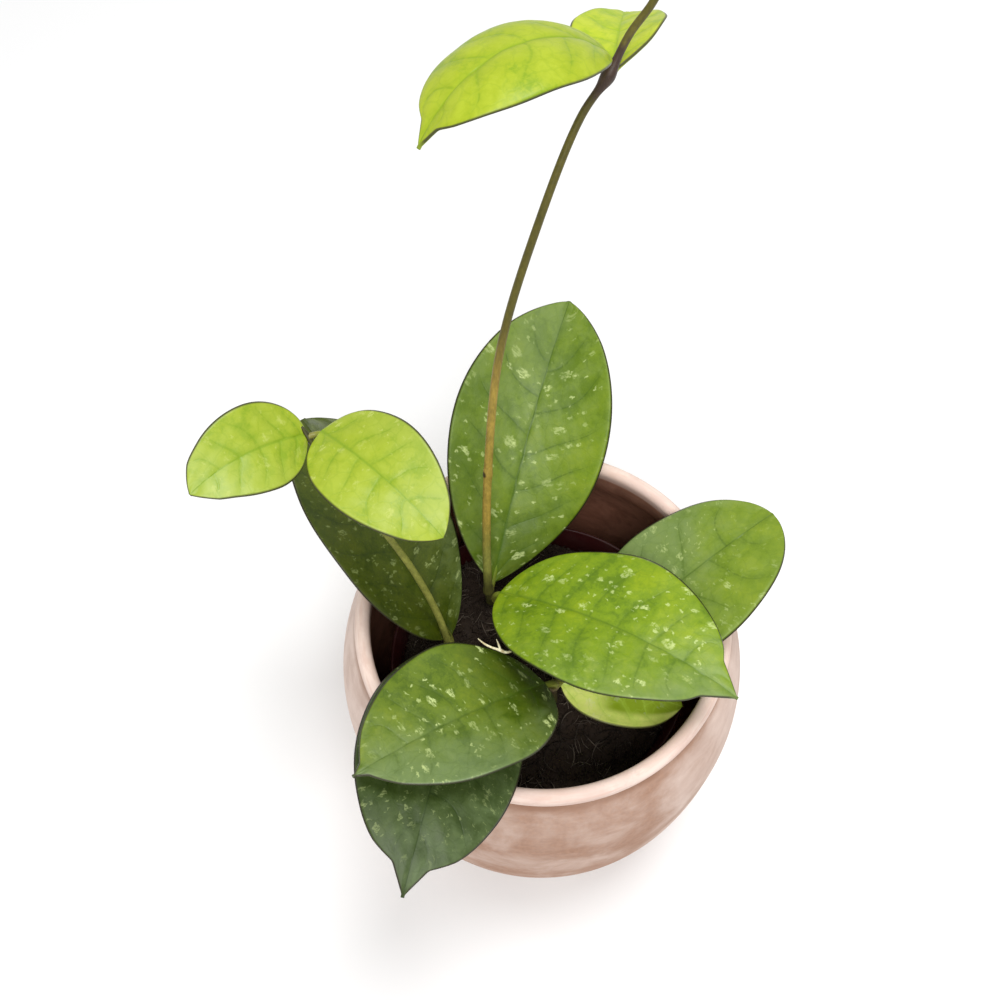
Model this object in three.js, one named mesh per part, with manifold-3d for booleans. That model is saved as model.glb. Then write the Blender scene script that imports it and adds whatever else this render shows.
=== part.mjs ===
// Potted hoya: a rounded terracotta pot, a plastic nursery pot of soil inside it, and four stems
// that carry eleven leaves. Millimetres and degrees, +Z up, origin at the centre of the pot's foot.

import * as THREE from "three";
import { mergeVertices } from "three/addons/utils/BufferGeometryUtils.js";
import Module from "manifold-3d";

const wasm = await Module();
wasm.setup();

// Clearance between pieces that touch
const GAP = 0.3;

// Rounded terracotta pot
const POT = {
  height: 95,
  footRadius: 45,
  bellyRadius: 60,
  bellyHeight: 55,
  lowerFullness: 2.6,
  lipRadius: 52.2,
  lipHeight: 4.5,
  grooveDepth: 0.9,
  mouthRadius: 48,
  wall: 5.5,
  floor: 7,
  innerFloorRadius: 37,
  sides: 40,
};

// Plastic nursery pot standing in it, a little off centre
const NURSERY = {
  x: -0.7,
  y: -2,
  rimHeight: 65,
  rimRadius: 44.5,
  rimBand: 5,
  rimThickness: 1.6,
  wall: 1,
  floor: 1.2,
  footRadius: 33,
  holes: 5,
  holeRadius: 3,
  holeRing: 20,
  sides: 36,
};

// Soil body with its uneven top
const SOIL = {
  level: 57.5,
  bump: 1.3,
  rings: 5,
  sides: 32,
};

// Stems: route points, radius at the foot and at the tip, and nodes that swell
const SOIL_FOOT = 38;
const VINE_FOOT_NODE = [-15, 16.8, 73.5];
const VINE_SCAR = [-13.5, 31, 119];
const VINE_TOP_NODE = [16.1, 74.9, 211];
const SHOOT_FOOT_NODE = [-26.6, -2.5, 76];
const SHOOT_TOP_NODE = [-58.2, 30.8, 141];
const FRONT_NODE = [2.2, -17.5, 84];
const MIDDLE_NODE = [-12.5, 8, 87];

const STEMS = {
  vine: {
    points: [
      [-15, 19.4, SOIL_FOOT],
      [-14.8, 19.4, 58],
      VINE_FOOT_NODE,
      [-15, 17.2, 85],
      [-14.7, 22, 98],
      VINE_SCAR,
      [-9, 45.2, 155],
      [1, 58.4, 186],
      [10.4, 70.8, 204],
      VINE_TOP_NODE,
      [20.4, 78.4, 218.5],
      [25.2, 80.6, 225],
      [30.5, 84.5, 238],
      [32.5, 88, 252],
    ],
    radii: [1.35, 0.8],
    tipLength: 16,
    nodes: [[VINE_FOOT_NODE, 0.5, 2.5], [VINE_TOP_NODE, 0.75, 3], [VINE_SCAR, 0.2, 1.6]],
    steps: 44,
  },
  shoot: {
    points: [
      [-25.4, -4, SOIL_FOOT],
      [-25.4, -4, 58],
      SHOOT_FOOT_NODE,
      [-29.3, 3.2, 88],
      [-35.6, 10.4, 106],
      [-48.9, 21.3, 130],
      SHOOT_TOP_NODE,
      [-60, 33.2, 144.5],
    ],
    radii: [1.2, 0.95],
    tipLength: 4,
    nodes: [[SHOOT_FOOT_NODE, 0.7, 3], [SHOOT_TOP_NODE, 0.4, 2]],
    steps: 26,
  },
  frontCutting: {
    points: [
      [3, -12.5, SOIL_FOOT],
      [3, -13, 58],
      [2.6, -15, 72],
      FRONT_NODE,
      [2.4, -18.3, 87],
    ],
    radii: [1.5, 1.2],
    tipLength: 2,
    nodes: [[FRONT_NODE, 0.5, 2.5]],
    steps: 12,
  },
  middleCutting: {
    points: [
      [-7, 8, SOIL_FOOT],
      [-7, 8, 58],
      [-10.5, 8.6, 74],
      MIDDLE_NODE,
      [-12.8, 7.6, 89.5],
    ],
    radii: [1.4, 1.1],
    tipLength: 2,
    nodes: [[MIDDLE_NODE, 0.4, 2.5]],
    steps: 12,
  },
};
const STEM_SIDES = 8;

// Leaf blades
const BLADE = {
  stations: 15,
  strips: 6,
  middleThickness: 1.3,
  edgeThickness: 0.7,
  baseHalfWidth: 0.9,
  tipHalfWidth: 0.45,
  waveCount: 2.5,
};
const PETIOLE = { sides: 7, steps: 6, reach: 0.09 };

// Each leaf: where its blade starts, its length and greatest width, and how it is held.
// heading is the compass direction seen from above (0 along +X), pitch its rise at the base;
// sag and tipSag change the rise along the blade, turn bends it sideways, roll and twist tip it
// about the midrib; cup and fold shape its section; rise, fall, acumen and point shape its outline.
const LEAVES = [
  {
    name: "leaf_back_large", stem: "vine", node: VINE_FOOT_NODE, base: [-13.6, 18.4, 75.2],
    length: 88.5, width: 47, heading: 72, pitch: 41.5, sag: -19.5, tipSag: -6, turn: -4.5, roll: 12,
    twist: -28, cup: 0.37, fold: 0.07, rise: 0.81, fall: 0.71, acumen: 0.03, point: 1.5, wave: 0.5,
    petioleRadius: 1.3, colour: 0x5f8a2f,
  },
  {
    name: "leaf_left_dark", stem: "shoot", node: SHOOT_FOOT_NODE, base: [-26.4, 1, 77.6],
    length: 77.5, width: 42, heading: 128.5, pitch: 41.5, sag: -18, tipSag: -9, turn: -2.5, roll: 21.5,
    twist: -14, cup: 0.33, fold: 0.1, rise: 0.62, fall: 0.64, acumen: 0.05, point: 2.2, wave: 0.4,
    petioleRadius: 1.2, colour: 0x4b6f2a,
  },
  {
    name: "leaf_shoot_left", stem: "shoot", node: SHOOT_TOP_NODE, base: [-58.8, 31.6, 141],
    length: 35.5, width: 22.4, heading: 217.5, pitch: 37, sag: -35.5, tipSag: -13, turn: 8, roll: -29.5,
    twist: 16.5, cup: 0.22, fold: 0.06, rise: 0.6, fall: 0.77, acumen: 0.03, point: 2.5, wave: 0.3,
    petioleRadius: 0.8, colour: 0x9dbb2f,
  },
  {
    name: "leaf_shoot_right", stem: "shoot", node: SHOOT_TOP_NODE, base: [-54.5, 31.5, 142],
    length: 45.5, width: 27.7, heading: -46.5, pitch: 25.5, sag: -49, tipSag: -7, turn: 1.5, roll: 6,
    twist: 1, cup: 0.26, fold: 0.07, rise: 0.59, fall: 0.71, acumen: 0.03, point: 1.9, wave: 0.3,
    petioleRadius: 0.8, colour: 0x97b82c,
  },
  {
    name: "leaf_vine_left", stem: "vine", node: VINE_TOP_NODE, base: [15.5, 76.2, 215.3],
    length: 54.8, width: 31.3, heading: 205, pitch: 48.3, sag: -86, tipSag: -7, turn: 22, roll: 12,
    twist: 20, cup: -0.74, fold: 0.16, rise: 0.71, fall: 0.59, acumen: 0.18, point: 2.2, wave: 0.2,
    petioleRadius: 0.8, colour: 0xa9c934,
  },
  {
    name: "leaf_vine_back", stem: "vine", node: VINE_TOP_NODE, base: [17.4, 76.2, 211.2],
    length: 35.3, width: 21.6, heading: 81, pitch: -5.5, sag: -25, tipSag: 0, turn: -4, roll: -10,
    twist: 19, cup: 0.06, fold: 0.2, rise: 0.68, fall: 0.68, acumen: 0.08, point: 2.1, wave: 0.2,
    petioleRadius: 0.8, colour: 0xaccb3c,
  },
  {
    name: "leaf_middle_bright", stem: "middleCutting", node: MIDDLE_NODE, base: [-11.3, 6.6, 93.4],
    length: 73.4, width: 45.2, heading: -27.5, pitch: 32, sag: -31, tipSag: -6, turn: -12.5, roll: -11,
    twist: 1.5, cup: -0.03, fold: 0.14, rise: 0.58, fall: 0.54, acumen: 0.21, point: 2.6, wave: 0.5,
    petioleRadius: 1.3, colour: 0x6d9423,
  },
  {
    name: "leaf_right", stem: "frontCutting", node: FRONT_NODE, base: [6.8, -13.1, 80.7],
    length: 73.7, width: 43.8, heading: 29.3, pitch: 35, sag: -23, tipSag: -12, turn: 3.5, roll: -18,
    twist: 12, cup: -0.13, fold: 0.05, rise: 0.59, fall: 0.55, acumen: 0.01, point: 1.1, wave: 0.4,
    petioleRadius: 1.3, colour: 0x6a8f3c,
  },
  {
    name: "leaf_front_upper", stem: "frontCutting", node: FRONT_NODE, base: [-0.5, -20.5, 94],
    length: 60.5, width: 40, heading: 207.5, pitch: 31, sag: -16, tipSag: 3, turn: 8, roll: 9,
    twist: -6, cup: 0.26, fold: 0.1, rise: 0.58, fall: 0.7, acumen: 0.1, point: 2, wave: 0.5,
    petioleRadius: 1.2, colour: 0x567d27,
  },
  {
    name: "leaf_front_lower", stem: "shoot", node: SHOOT_FOOT_NODE, base: [-21.3, -3.7, 79.9],
    length: 82, width: 43.2, heading: -98.6, pitch: 43.7, sag: -39.5, tipSag: -2.4, turn: -6, roll: -12,
    twist: 1, cup: -0.29, fold: 0.07, rise: 0.66, fall: 0.55, acumen: 0.17, point: 2.4, wave: 0.4,
    petioleRadius: 1.2, colour: 0x3f6a3a,
  },
  {
    name: "leaf_young_curled", stem: "frontCutting", node: FRONT_NODE, base: [4.7, -15, 77.4],
    length: 37, width: 22, heading: -8, pitch: 1.7, sag: -24, tipSag: -6.5, turn: -2, roll: 15,
    twist: 6, cup: 0.81, fold: 0.06, rise: 0.65, fall: 0.76, acumen: 0.04, point: 0.9, wave: 0.2,
    petioleRadius: 0.8, colour: 0xb4c94a,
  },
];

const group = new THREE.Group();

const radians = THREE.MathUtils.degToRad;

function vector(values) {
  return new THREE.Vector3(...values);
}

// Turns a closed geometry into a solid for joining and cutting
function solidOf(geometry) {
  const bare = geometry.clone();
  bare.deleteAttribute("normal");
  bare.deleteAttribute("uv");
  const merged = mergeVertices(bare, 1e-4);
  return new wasm.Manifold(new wasm.Mesh({
    numProp: 3,
    vertProperties: new Float32Array(merged.attributes.position.array),
    triVerts: new Uint32Array(merged.index.array),
  }));
}

function geometryOf(solid) {
  const mesh = solid.getMesh();
  const geometry = new THREE.BufferGeometry();
  geometry.setAttribute("position", new THREE.BufferAttribute(new Float32Array(mesh.vertProperties), 3));
  geometry.setIndex(new THREE.BufferAttribute(new Uint32Array(mesh.triVerts), 1));
  geometry.computeVertexNormals();
  return geometry;
}

function indexedGeometry(points, faces) {
  const geometry = new THREE.BufferGeometry();
  geometry.setAttribute("position", new THREE.Float32BufferAttribute(points.flatMap((p) => p.toArray()), 3));
  geometry.setIndex(faces.flat());
  geometry.computeVertexNormals();
  return geometry;
}

function addPiece(name, geometry, colour, roughness) {
  const material = new THREE.MeshStandardMaterial({ color: colour, roughness, metalness: 0 });
  const mesh = new THREE.Mesh(geometry, material);
  mesh.name = name;
  group.add(mesh);
}

// Turns a profile of [radius, height] points about the Z axis
function turned(profile, sides) {
  const geometry = new THREE.LatheGeometry(profile.map(([r, z]) => new THREE.Vector2(r, z)), sides);
  geometry.rotateX(Math.PI / 2);
  return geometry;
}

// Points of an arc in the profile plane, angles in degrees from the outward direction
function profileArc(centreRadius, centreHeight, radius, from, to, count) {
  const points = [];
  for (let i = 0; i <= count; i += 1) {
    const angle = radians(from + (to - from) * i / count);
    points.push([centreRadius + radius * Math.cos(angle), centreHeight + radius * Math.sin(angle)]);
  }
  return points;
}

// Outer radius of the pot's body at a height, below the lip
function potBodyRadius(z) {
  if (z < POT.bellyHeight) {
    const depth = (POT.bellyHeight - z) / POT.bellyHeight;
    const fullness = (1 - depth ** POT.lowerFullness) ** (1 / POT.lowerFullness);
    return POT.footRadius + (POT.bellyRadius - POT.footRadius) * fullness;
  }
  const grooveHeight = POT.height - POT.lipHeight;
  const share = (z - POT.bellyHeight) / (grooveHeight - POT.bellyHeight);
  const neckRadius = POT.lipRadius - POT.grooveDepth;
  return neckRadius + (POT.bellyRadius - neckRadius) * Math.cos(share * Math.PI / 2) ** 0.8;
}

function potProfile() {
  const bodyHeights = [0, 0.7, 2, 4.2, 7.5, 12, 18, 25, 34, 44, 55, 62, 69, 75, 80, 84, 87];
  const outer = bodyHeights.map((z) => [potBodyRadius(z), z]);
  const grooveHeight = POT.height - POT.lipHeight;
  outer.push([POT.lipRadius - POT.grooveDepth, grooveHeight - 0.4]);
  const lipRounding = (POT.lipRadius - POT.mouthRadius) / 2;
  const lipMiddle = POT.mouthRadius + lipRounding;
  const lip = [
    [POT.lipRadius - 0.2, grooveHeight + 0.5],
    ...profileArc(lipMiddle, POT.height - lipRounding, lipRounding, 0, 180, 6),
    [POT.mouthRadius, grooveHeight],
  ];
  const inner = [82, 72, 60, 48, 34, 23, 15].map((z) => [potBodyRadius(z) - POT.wall, z]);
  inner.push([POT.innerFloorRadius + 8, 9.5], [POT.innerFloorRadius, POT.floor]);
  return [[0, 0], ...outer, ...lip, ...inner, [0, POT.floor]];
}

function buildPot() {
  addPiece("pot", turned(potProfile(), POT.sides), 0xd9b9a8, 0.85);
}

// Outer radius of the nursery pot's wall at a height
const NURSERY_FOOT = POT.floor + GAP;
function nurseryWallRadius(z) {
  const share = (z - NURSERY_FOOT) / (NURSERY.rimHeight - NURSERY_FOOT);
  const wallTop = NURSERY.rimRadius - NURSERY.rimThickness + NURSERY.wall;
  return NURSERY.footRadius + (wallTop - NURSERY.footRadius) * share;
}

function buildNurseryPot() {
  const bandFoot = NURSERY.rimHeight - NURSERY.rimBand;
  const inner = (z) => nurseryWallRadius(z) - NURSERY.wall;
  const floorTop = NURSERY_FOOT + NURSERY.floor;
  const profile = [
    [0, NURSERY_FOOT],
    [NURSERY.footRadius - 1, NURSERY_FOOT],
    [NURSERY.footRadius, NURSERY_FOOT + 1],
    [nurseryWallRadius(bandFoot), bandFoot],
    [NURSERY.rimRadius - 0.4, bandFoot + 0.2],
    [NURSERY.rimRadius, NURSERY.rimHeight - 0.5],
    [NURSERY.rimRadius - 0.5, NURSERY.rimHeight],
    [inner(NURSERY.rimHeight) + 0.2, NURSERY.rimHeight],
    [inner(bandFoot), bandFoot],
    [inner(floorTop), floorTop],
    [0, floorTop],
  ];
  let solid = solidOf(turned(profile, NURSERY.sides));
  for (let i = 0; i < NURSERY.holes; i += 1) {
    const angle = i * 2 * Math.PI / NURSERY.holes;
    const hole = new THREE.CylinderGeometry(NURSERY.holeRadius, NURSERY.holeRadius, 3 * NURSERY.floor, 8);
    hole.rotateX(Math.PI / 2);
    hole.translate(
      NURSERY.holeRing * Math.cos(angle), NURSERY.holeRing * Math.sin(angle),
      NURSERY_FOOT + NURSERY.floor / 2,
    );
    solid = solid.subtract(solidOf(hole));
  }
  const geometry = geometryOf(solid);
  geometry.translate(NURSERY.x, NURSERY.y, 0);
  addPiece("nursery_pot", geometry, 0x2c1512, 0.35);
}

// Curve that a stem follows
function stemCurve(stem) {
  return new THREE.CatmullRomCurve3(stem.points.map(vector), false, "centripetal");
}

// Closed tube with a radius that changes along its curve; extra grows it all over
function taperedTube(curve, steps, sides, radiusAt, extra = 0) {
  const frames = curve.computeFrenetFrames(steps, false);
  const points = [];
  const faces = [];
  for (let i = 0; i <= steps; i += 1) {
    const u = i / steps;
    const centre = curve.getPointAt(u);
    const push = i === 0 ? -extra : (i === steps ? extra : 0);
    centre.addScaledVector(frames.tangents[i], push);
    for (let k = 0; k < sides; k += 1) {
      const angle = 2 * Math.PI * k / sides;
      const radius = radiusAt(u, centre) + extra;
      points.push(centre.clone()
        .addScaledVector(frames.normals[i], radius * Math.cos(angle))
        .addScaledVector(frames.binormals[i], radius * Math.sin(angle)));
    }
  }
  for (let i = 0; i < steps; i += 1) {
    for (let k = 0; k < sides; k += 1) {
      const a = i * sides + k;
      const b = i * sides + (k + 1) % sides;
      faces.push([a, b, b + sides], [a, b + sides, a + sides]);
    }
  }
  const last = steps * sides;
  for (let k = 1; k < sides - 1; k += 1) {
    faces.push([0, k + 1, k], [last, last + k, last + k + 1]);
  }
  return indexedGeometry(points, faces);
}

// Radius of a stem: an even taper, a pointed end and a swelling at each node
function stemRadius(stem, length) {
  const swellings = stem.nodes.map(([place, height, reach]) => [vector(place), height, reach]);
  return (u, point) => {
    let radius = stem.radii[0] + (stem.radii[1] - stem.radii[0]) * u;
    const fromTip = (1 - u) * length / stem.tipLength;
    radius *= 0.35 + 0.65 * Math.min(1, fromTip) ** 0.6;
    swellings.forEach(([place, height, reach]) => {
      radius += height * Math.exp(-((point.distanceTo(place) / reach) ** 2));
    });
    return radius;
  };
}

function stemSolid(stem, extra = 0) {
  const curve = stemCurve(stem);
  const radius = stemRadius(stem, curve.getLength());
  return solidOf(taperedTube(curve, stem.steps, STEM_SIDES, radius, extra));
}

function buildStems() {
  addPiece("vine_stem", geometryOf(stemSolid(STEMS.vine)), 0x6b6a34, 0.6);
  addPiece("shoot_stem", geometryOf(stemSolid(STEMS.shoot)), 0x7f8a45, 0.6);
  addPiece("front_cutting_stem", geometryOf(stemSolid(STEMS.frontCutting)), 0x6f6a45, 0.7);
  addPiece("middle_cutting_stem", geometryOf(stemSolid(STEMS.middleCutting)), 0x7a7a48, 0.7);
}

// Height of the soil's lumps above its level
function soilBump(x, y) {
  const broad = Math.sin(x * 0.19 + 0.7) * Math.cos(y * 0.16 - 0.4);
  const fine = Math.sin(x * 0.47 + y * 0.31) * Math.cos(y * 0.53 - x * 0.22 + 1.1);
  return SOIL.bump * (0.8 * broad + 0.5 * fine);
}

function buildSoil() {
  const foot = NURSERY_FOOT + NURSERY.floor + GAP;
  const clearRadius = (z) => nurseryWallRadius(z) - NURSERY.wall - GAP - 0.1;
  const topRadius = clearRadius(SOIL.level - 2);
  const points = [new THREE.Vector3(0, 0, SOIL.level + soilBump(0, 0))];
  const ring = (radius, height) => {
    for (let k = 0; k < SOIL.sides; k += 1) {
      const angle = 2 * Math.PI * k / SOIL.sides;
      const x = radius * Math.cos(angle);
      const y = radius * Math.sin(angle);
      points.push(new THREE.Vector3(x, y, height ?? SOIL.level + soilBump(x, y)));
    }
  };
  for (let i = 1; i <= SOIL.rings; i += 1) {
    ring(topRadius * i / SOIL.rings);
  }
  ring(clearRadius(foot), foot);
  points.push(new THREE.Vector3(0, 0, foot));
  const ringStart = (i) => 1 + i * SOIL.sides;
  const faces = [];
  for (let k = 0; k < SOIL.sides; k += 1) {
    const next = (k + 1) % SOIL.sides;
    faces.push([0, 1 + k, 1 + next]);
    for (let i = 0; i < SOIL.rings; i += 1) {
      const inner = ringStart(i);
      const outer = ringStart(i + 1);
      faces.push([inner + k, outer + k, outer + next], [inner + k, outer + next, inner + next]);
    }
    const footRing = ringStart(SOIL.rings);
    faces.push([points.length - 1, footRing + next, footRing + k]);
  }
  const geometry = indexedGeometry(points, faces);
  geometry.translate(NURSERY.x, NURSERY.y, 0);
  let solid = solidOf(geometry);
  Object.values(STEMS).forEach((stem) => {
    solid = solid.subtract(stemSolid(stem, GAP));
  });
  addPiece("soil", geometryOf(solid), 0x1d1814, 1);
}

// Half width of a blade as a share of its greatest, at s from its base (0) to its tip (1)
function bladeOutline(leaf, s) {
  const q = Math.min(s / (1 - 0.5 * leaf.acumen), 1);
  const widest = leaf.rise / (leaf.rise + leaf.fall);
  const peak = widest ** leaf.rise * (1 - widest) ** leaf.fall;
  const body = q ** leaf.rise * (1 - q) ** leaf.fall / peak;
  const point = leaf.point * (1 - s) * THREE.MathUtils.clamp((s - 0.72) / 0.15, 0, 1);
  return Math.cbrt(body ** 3 + point ** 3);
}

// Direction of the midrib at s, with the blade's left side and its upper side
function bladeFrame(leaf, s) {
  const pitch = radians(leaf.pitch + leaf.sag * s + leaf.tipSag * s ** 3);
  const heading = radians(leaf.heading + leaf.turn * s);
  const along = new THREE.Vector3(
    Math.cos(pitch) * Math.cos(heading), Math.cos(pitch) * Math.sin(heading), Math.sin(pitch),
  );
  const left = new THREE.Vector3(-Math.sin(heading), Math.cos(heading), 0);
  const up = new THREE.Vector3().crossVectors(along, left);
  const roll = radians(leaf.roll + leaf.twist * (s - 0.5));
  left.applyAxisAngle(along, roll);
  up.applyAxisAngle(along, roll);
  return { along, left, up };
}

// Midrib position at s, by adding short steps from the base
function midribPoint(leaf, s) {
  const steps = Math.max(1, Math.round(60 * s));
  const point = vector(leaf.base);
  for (let i = 0; i < steps; i += 1) {
    const middle = s * (i + 0.5) / steps;
    point.addScaledVector(bladeFrame(leaf, middle).along, leaf.length * s / steps);
  }
  return point;
}

// Point of the blade's middle surface at s along and v across (-1 right edge, 1 left edge)
function bladePoint(leaf, s, v, centre, frame) {
  const least = BLADE.baseHalfWidth + (BLADE.tipHalfWidth - BLADE.baseHalfWidth) * s;
  const share = bladeOutline(leaf, s);
  const half = Math.max(leaf.width / 2 * share, least);
  const bend = Math.abs(leaf.cup * share) < 1e-3 ? 1e-3 : leaf.cup * share;
  const wavePhase = 2 * Math.PI * BLADE.waveCount * s + (v < 0 ? 2 : 0);
  const wave = leaf.wave * Math.sin(wavePhase) * Math.abs(v) ** 3 * share;
  const across = Math.sin(bend * v) / bend * half;
  const lift = (1 - Math.cos(bend * v)) / bend * half + leaf.fold * Math.abs(v) * half + wave;
  const point = centre.clone().addScaledVector(frame.left, across).addScaledVector(frame.up, lift);
  const normal = frame.up.clone().multiplyScalar(Math.cos(bend * v))
    .addScaledVector(frame.left, -Math.sin(bend * v));
  return { point, normal };
}

function bladeGeometry(leaf) {
  const rows = BLADE.stations;
  const strips = BLADE.strips;
  const upper = [];
  const lower = [];
  for (let i = 0; i <= rows; i += 1) {
    const even = i / rows;
    const s = 0.5 * even + 0.25 * (1 - Math.cos(Math.PI * even));
    const centre = midribPoint(leaf, s);
    const frame = bladeFrame(leaf, s);
    for (let j = 0; j <= strips; j += 1) {
      const v = 2 * j / strips - 1;
      const { point, normal } = bladePoint(leaf, s, v, centre, frame);
      const middle = 1 - Math.max(v * v, s ** 8);
      const thickness = BLADE.edgeThickness + (BLADE.middleThickness - BLADE.edgeThickness) * middle;
      upper.push(point.clone().addScaledVector(normal, thickness / 2));
      lower.push(point.clone().addScaledVector(normal, -thickness / 2));
    }
  }
  const below = upper.length;
  const at = (i, j) => i * (strips + 1) + j;
  const faces = [];
  const quad = (a, b, c, d) => faces.push([a, b, c], [a, c, d]);
  for (let i = 0; i < rows; i += 1) {
    for (let j = 0; j < strips; j += 1) {
      const corners = [at(i, j), at(i + 1, j), at(i + 1, j + 1), at(i, j + 1)];
      const [a, b, c, d] = corners.map((corner) => below + corner);
      quad(...corners);
      quad(a, d, c, b);
    }
    quad(below + at(i, 0), below + at(i + 1, 0), at(i + 1, 0), at(i, 0));
    quad(below + at(i, strips), at(i, strips), at(i + 1, strips), below + at(i + 1, strips));
  }
  for (let j = 0; j < strips; j += 1) {
    quad(below + at(0, j), at(0, j), at(0, j + 1), below + at(0, j + 1));
    quad(below + at(rows, j), below + at(rows, j + 1), at(rows, j + 1), at(rows, j));
  }
  return indexedGeometry([...upper, ...lower], faces);
}

// Leaf stalk from the middle of the stem at its node into the blade's underside
function petioleGeometry(leaf) {
  const start = vector(leaf.node);
  const base = vector(leaf.base);
  const frame = bladeFrame(leaf, 0);
  const reach = start.distanceTo(base) * 0.4;
  const bend = base.clone().addScaledVector(frame.along, -reach).addScaledVector(frame.up, -0.5);
  const end = midribPoint(leaf, PETIOLE.reach).addScaledVector(bladeFrame(leaf, PETIOLE.reach).up, -0.3);
  const curve = new THREE.CubicBezierCurve3(start, bend, base, end);
  const radius = (u) => leaf.petioleRadius * (1 - 0.4 * u);
  return taperedTube(curve, PETIOLE.steps, PETIOLE.sides, radius);
}

function buildLeaves() {
  LEAVES.forEach((leaf) => {
    const blade = solidOf(bladeGeometry(leaf));
    const stalk = solidOf(petioleGeometry(leaf));
    const stemClear = stemSolid(STEMS[leaf.stem], GAP);
    addPiece(leaf.name, geometryOf(blade.add(stalk).subtract(stemClear)), leaf.colour, 0.45);
  });
}

buildPot();
buildNurseryPot();
buildSoil();
buildStems();
buildLeaves();

export default group;
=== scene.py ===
import math

import bmesh
import bpy
import numpy as np
from bpy.props import FloatProperty, FloatVectorProperty, IntProperty, PointerProperty
from mathutils import Matrix, Vector


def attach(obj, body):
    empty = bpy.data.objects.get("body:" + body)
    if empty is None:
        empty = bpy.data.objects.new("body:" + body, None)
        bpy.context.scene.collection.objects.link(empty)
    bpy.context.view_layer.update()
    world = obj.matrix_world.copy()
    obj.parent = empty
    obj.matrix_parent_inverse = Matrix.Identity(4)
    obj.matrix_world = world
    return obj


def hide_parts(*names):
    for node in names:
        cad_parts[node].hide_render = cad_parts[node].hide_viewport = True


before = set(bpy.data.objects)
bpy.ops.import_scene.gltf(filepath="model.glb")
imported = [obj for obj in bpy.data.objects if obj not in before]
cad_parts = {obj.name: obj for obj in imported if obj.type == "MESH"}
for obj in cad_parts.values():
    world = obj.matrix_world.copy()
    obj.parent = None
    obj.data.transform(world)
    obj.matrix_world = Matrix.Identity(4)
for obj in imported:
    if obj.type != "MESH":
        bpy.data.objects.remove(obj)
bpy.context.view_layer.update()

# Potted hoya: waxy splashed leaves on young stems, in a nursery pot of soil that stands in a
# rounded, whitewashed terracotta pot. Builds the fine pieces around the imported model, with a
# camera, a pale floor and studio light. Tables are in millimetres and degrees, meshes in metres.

bl_info = {
    "name": "Potted hoya",
    "version": (1, 0, 0),
    "blender": (4, 5, 0),
    "location": "3D View > Sidebar > Hoya",
    "description": "Builds a potted hoya with its pot, soil, stems and splashed leaves",
    "category": "Add Mesh",
}

MM = 0.001

# Pot profile, in millimetres, as in the part
POT_HEIGHT = 95
POT_FOOT_RADIUS = 45
POT_BELLY_RADIUS = 60
POT_BELLY_HEIGHT = 55
POT_LOWER_FULLNESS = 2.6
POT_UPPER_FULLNESS = 0.8
POT_LIP_RADIUS = 52.2
POT_LIP_HEIGHT = 4.5
POT_GROOVE_DEPTH = 0.9
POT_MOUTH_RADIUS = 48
POT_WALL = 5.5
POT_FLOOR = 7
POT_INNER_FLOOR_RADIUS = 37
POT_INNER_CORNER = 8
POT_FOOT_ROUNDING = (0, 0.2, 0.7, 1.3, 2, 3, 4.2, 5.8, 7.5)
POT_WALL_RINGS = 44
POT_INNER_RINGS = 30
POT_LIP_STEPS = 17
POT_GROOVE_HEIGHT = POT_HEIGHT - POT_LIP_HEIGHT
POT_NECK_RADIUS = POT_LIP_RADIUS - POT_GROOVE_DEPTH

# Depth under the lip's top over which the pot's bare inside and its painted shade set in, how far
# in from the outer surface it starts, and the distance at which a turned profile's points are welded
INSIDE_DEPTH = 7
INSIDE_MARGIN = 1.8
WELD = 0.004

# Nursery pot
NURSERY_X = -0.7
NURSERY_Y = -2
NURSERY_FOOT = 7.3
NURSERY_RIM_HEIGHT = 65
NURSERY_RIM_RADIUS = 44.5
NURSERY_RIM_BAND = 5
NURSERY_RIM_ROLL = 0.5
NURSERY_RIM_STEPS = 9
NURSERY_WALL_RINGS = 12
NURSERY_WALL = 1
NURSERY_FLOOR = 1.2
NURSERY_FOOT_RADIUS = 33
NURSERY_WALL_TOP_RADIUS = 43.9
NURSERY_HOLES = 5
NURSERY_HOLE_RADIUS = 3
NURSERY_HOLE_RING = 20
NURSERY_HOLE_SIDES = 24

# Soil
SOIL_LEVEL = 57.5
SOIL_FOOT = 8.8
SOIL_TOP_RADIUS = 41
SOIL_FOOT_RADIUS = 31.6
SOIL_ROUGHNESS = 1.3
SOIL_RINGS = 46
SOIL_SECTORS = 150
CRUMB_SEED = 4
FIBRE_SEED = 11
FULL_TURN = 6.28
LEAST_UPWARD = 0.3
CRUMB_SHAPES = ((0.45, 0.4, 0.35), (1.7, 1.1, 0.9))
CRUMB_SCALES = (0.35, 1.25)
FIBRE_SCALES = (0.35, 1.5)
FIBRE_THICKNESS = 0.018
FIBRE_SLANT = 0.5

# Stems: route points in millimetres, radius at foot and tip, tip length, and swollen nodes
VINE_FOOT_NODE = (-15, 16.8, 73.5)
VINE_SCAR = (-13.5, 31, 119)
SCAR_SPOT = (-14.9, 30.2, 119.4)
VINE_TOP_NODE = (16.1, 74.9, 211)
SHOOT_FOOT_NODE = (-26.6, -2.5, 76)
SHOOT_TOP_NODE = (-58.2, 30.8, 141)
FRONT_NODE = (2.2, -17.5, 84)
MIDDLE_NODE = (-12.5, 8, 87)

# A stem's tip: its radius as a share of the stem's, and how blunt it closes
TIP_SHARE = 0.35
TIP_BLUNTNESS = 0.6

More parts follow.
